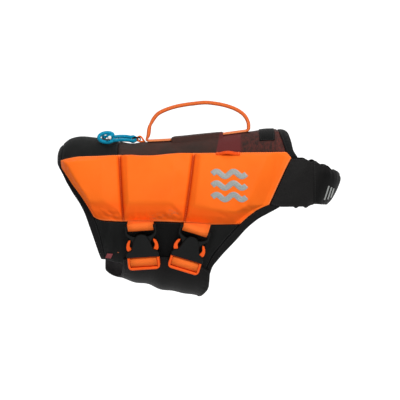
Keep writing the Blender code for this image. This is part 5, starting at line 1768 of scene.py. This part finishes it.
def band(name, frame_at, line, narrows):
    """Buckle webbing along line(u), which gives rows of (v, w) at a place across it.

    Its wall is on the left of its line, like its solid's.
    """
    rows = []
    for u in np.linspace(-WEB_HALF, WEB_HALF, 9):
        fine = evenly(line(u), BAND_STEPS)
        wide = np.interp(fine[:, 0], *zip(*narrows))
        rows.append([in_frame(frame_at, u * s, v, w) for s, (v, w) in zip(wide, fine)])
    grid = np.array(rows).swapaxes(0, 1)
    middle, across = grid.mean(axis=1), grid[:, -1] - grid[:, 0]
    normal = unit(np.cross(np.gradient(middle, axis=0), across))
    half = np.linalg.norm(across, axis=1) / 2
    middle = middle + normal * WEBBING / 2
    thicks = np.full(len(grid), WEBBING / 2)
    rings = strip_rings(middle, unit(across), normal, half, thicks, power=6.0)
    strip(name, rings, "webbing_orange", WEBBING_WIDTH)


def tab_line(frame_at):
    """The webbing that leaves the float's lower seam and turns round the top bar."""

    def line(u):
        top = seam_level(frame_at, u)
        back = skin(frame_at, u, top, CLOTH + LAYER_GAP + WEBBING)
        front = back + TAB_PLY
        start = tangent((top, front), TOP_BAR_LEVEL, TAB_RADIUS, 1)
        end = tangent((top, back), TOP_BAR_LEVEL, TAB_RADIUS, -1) + 360
        turn = wrap(TOP_BAR_LEVEL, 0.0, TAB_RADIUS, start, end, 30)
        return [(top, front), *turn, (top, back)]

    return line


def strap_line(frame_at):
    """The webbing sewn to the belly panel that passes over the male half's bar."""
    lift = BELLY_LIFT + NEOPRENE + LAYER_GAP
    turn = wrap(BAR_LEVEL, STRAP_HEIGHT, STRAP_RADIUS, 0, 180, 24)

    def line(u):
        feet = [(v, skin(frame_at, u, v, lift)) for v in STRAP_FEET]
        return [*feet[:2], *turn, *feet[2:]]

    return line


def make_buckles():
    for number, place in enumerate(BUCKLES, 1):
        frame_at = buckle_frame(place)
        band(f"buckle_{number}_tab", frame_at, tab_line(frame_at), TAB_NARROWS)
        band(f"buckle_{number}_strap", frame_at, strap_line(frame_at), STRAP_NARROWS)
        for half, finish in (("female", "plastic_black"), ("male", "plastic_orange")):
            node = frame["nodes"][f"buckle_{number}_{half}"]
            node.data.materials.clear()
            node.data.materials.append(FINISHES[finish])


# ---------------------------------------------------------------- reflective bands

BAND_LIFT, BAND_THICK = 0.15, 0.25
OUTSIDE = 300.0  # a level across, well outside the jacket
SIDE_BANDS = (59.0, 106.0, (-43.6, -59.5, -75.4))  # from and to x, and each band's z
SIDE_BAND_WIDTH, SIDE_WAVE = 7.4, (23.5, 3.4)  # the waves' length and height
STRAP_BANDS = (  # x and z of their upper and lower ends
    (222.6, -61.5, 216.4, -81.0), (226.6, -63.5, 221.4, -80.4), (230.0, -65.5, 226.0, -78.0),
)
STRAP_BAND_WIDTH = 1.9


def reflective_band(name, base, middle, width, out):
    """A thin strip printed on a piece, along a line seen from the side that faces out."""
    tree = BVHTree.FromPolygons(
        [v.co / MM for v in base.data.vertices], [p.vertices for p in base.data.polygons]
    )
    way = unit(np.gradient(middle, axis=0))
    across = stack(-way[:, 1], way[:, 0])
    rows = []
    for share in np.linspace(-0.5, 0.5, 7):
        row = []
        for x, z in middle + across * share * width:
            start = Vector((x, OUTSIDE * out, z))
            hit, normal = tree.ray_cast(start, Vector((0, -out, 0)))[:2]
            row.append(hit + normal * math.copysign(BAND_LIFT, normal.y * out))
        rows.append(row)
    grid = np.array(rows).swapaxes(0, 1) * (FAR if out > 0 else 1.0)
    shell(name, grid, BAND_THICK, "reflective_grey", far=out > 0, node=False)


def make_bands():
    """Generic reflective bands: waves on each float, and bars on the collar's strap."""
    start, end, levels = SIDE_BANDS
    long, high = SIDE_WAVE
    x = np.linspace(start, end, 81)
    for side, out in (("right", -1), ("left", 1)):
        base = SURFACES[f"float_{side}"][0]
        for k, level in enumerate(levels, 1):
            line = stack(x, level + high * np.sin((x - start) * 2 * math.pi / long))
            reflective_band(f"side_band_{side}_{k}", base, line, SIDE_BAND_WIDTH, out)
        for k, (x0, z0, x1, z1) in enumerate(STRAP_BANDS, 1):
            line = np.linspace((x0, z0), (x1, z1), 25)
            base = SURFACES["collar_front"][0]
            reflective_band(f"strap_band_{side}_{k}", base, line, STRAP_BAND_WIDTH, out)


# ---------------------------------------------------------------- floor and light

FLOOR_LEVEL = -0.60
FLOOR_FRONT, FLOOR_FLAT, FLOOR_BEND, FLOOR_HALF = -6.0, 2.0, 3.0, 7.0
BEND_RADIUS, BACKDROP_TOP = 1.5, 6.0
STUDIO_WHITE = 0.92
FLOOR_GLOW = 0.5  # the paper is lit from behind, so that it stays white
WORLD_SHADE = (-0.6, 0.6, 0.45, 0.6)  # from and to a height, and the light's strength there
LIGHTS = {  # where each is, its size and its power
    "key": ((1.2, -2.3, 1.9), 0.9, 58.0),
    "fill": ((-2.2, -2.4, 0.6), 2.0, 5.0),
    "low": ((0.2, -3.0, -0.9), 1.6, 13.0),
    "top": ((0.2, 0.2, 2.4), 1.2, 14.0),
}


def studio_world():
    """Even soft light from above and all round, and little from below."""
    world = bpy.data.worlds.new("studio")
    world.use_nodes = True
    tree = world.node_tree
    background = tree.nodes["Background"]
    background.inputs["Color"].default_value = (1.0, 1.0, 1.0, 1.0)
    place = tree.nodes.new("ShaderNodeTexCoord").outputs["Generated"]
    height = tree.nodes.new("ShaderNodeSeparateXYZ")
    shade = tree.nodes.new("ShaderNodeMapRange")
    tree.links.new(place, height.inputs[0])
    tree.links.new(height.outputs["Z"], shade.inputs["Value"])
    for name, value in zip(("From Min", "From Max", "To Min", "To Max"), WORLD_SHADE):
        shade.inputs[name].default_value = value
    tree.links.new(shade.outputs[0], background.inputs["Strength"])
    return world


def make_stage():
    """A pale floor that rises into a backdrop, and soft lights."""
    profile = [(FLOOR_FRONT, FLOOR_LEVEL), (FLOOR_FLAT, FLOOR_LEVEL)]
    for a in np.linspace(0, math.pi / 2, 13):
        rise = BEND_RADIUS * (1 - math.cos(a))
        profile.append((FLOOR_BEND + BEND_RADIUS * math.sin(a), FLOOR_LEVEL + rise))
    profile.append((FLOOR_BEND + BEND_RADIUS, BACKDROP_TOP))
    points = [(x, y, z) for y, z in profile for x in (-FLOOR_HALF, FLOOR_HALF)]
    faces = [(2 * k, 2 * k + 1, 2 * k + 3, 2 * k + 2) for k in range(len(profile) - 1)]
    data = bpy.data.meshes.new("floor")
    data.from_pydata(points, [], faces)
    data.shade_smooth()
    paper = Finish("floor_paper", (STUDIO_WHITE,) * 3, 0.9, Emission_Strength=FLOOR_GLOW)
    paper.shader.inputs["Emission Color"].default_value = (1.0, 1.0, 1.0, 1.0)
    data.materials.append(paper.material)
    floor = placed("floor", data)
    floor.visible_diffuse = False
    floor.visible_shadow = False
    bpy.context.scene.world = studio_world()
    for name, (place, size, power) in LIGHTS.items():
        light = bpy.data.lights.new(name, "AREA")
        light.size = size
        light.energy = power
        obj = placed(name, light)
        obj.location = place
        obj.rotation_euler = (CAMERA_AIM - Vector(place)).to_track_quat("-Z", "Y").to_euler()
    bpy.context.scene.view_settings.view_transform = "Standard"


# ---------------------------------------------------------------- the jacket

make_cord()
make_back()
make_floats()
make_flaps()
make_tapes()
make_collar()
make_belly()
make_handle()
make_sleeve()
make_label()
make_ring_loop()
make_ring()
make_lash_loops()
make_side_tab()
make_buckles()
make_bands()
make_stitches()
make_stage()
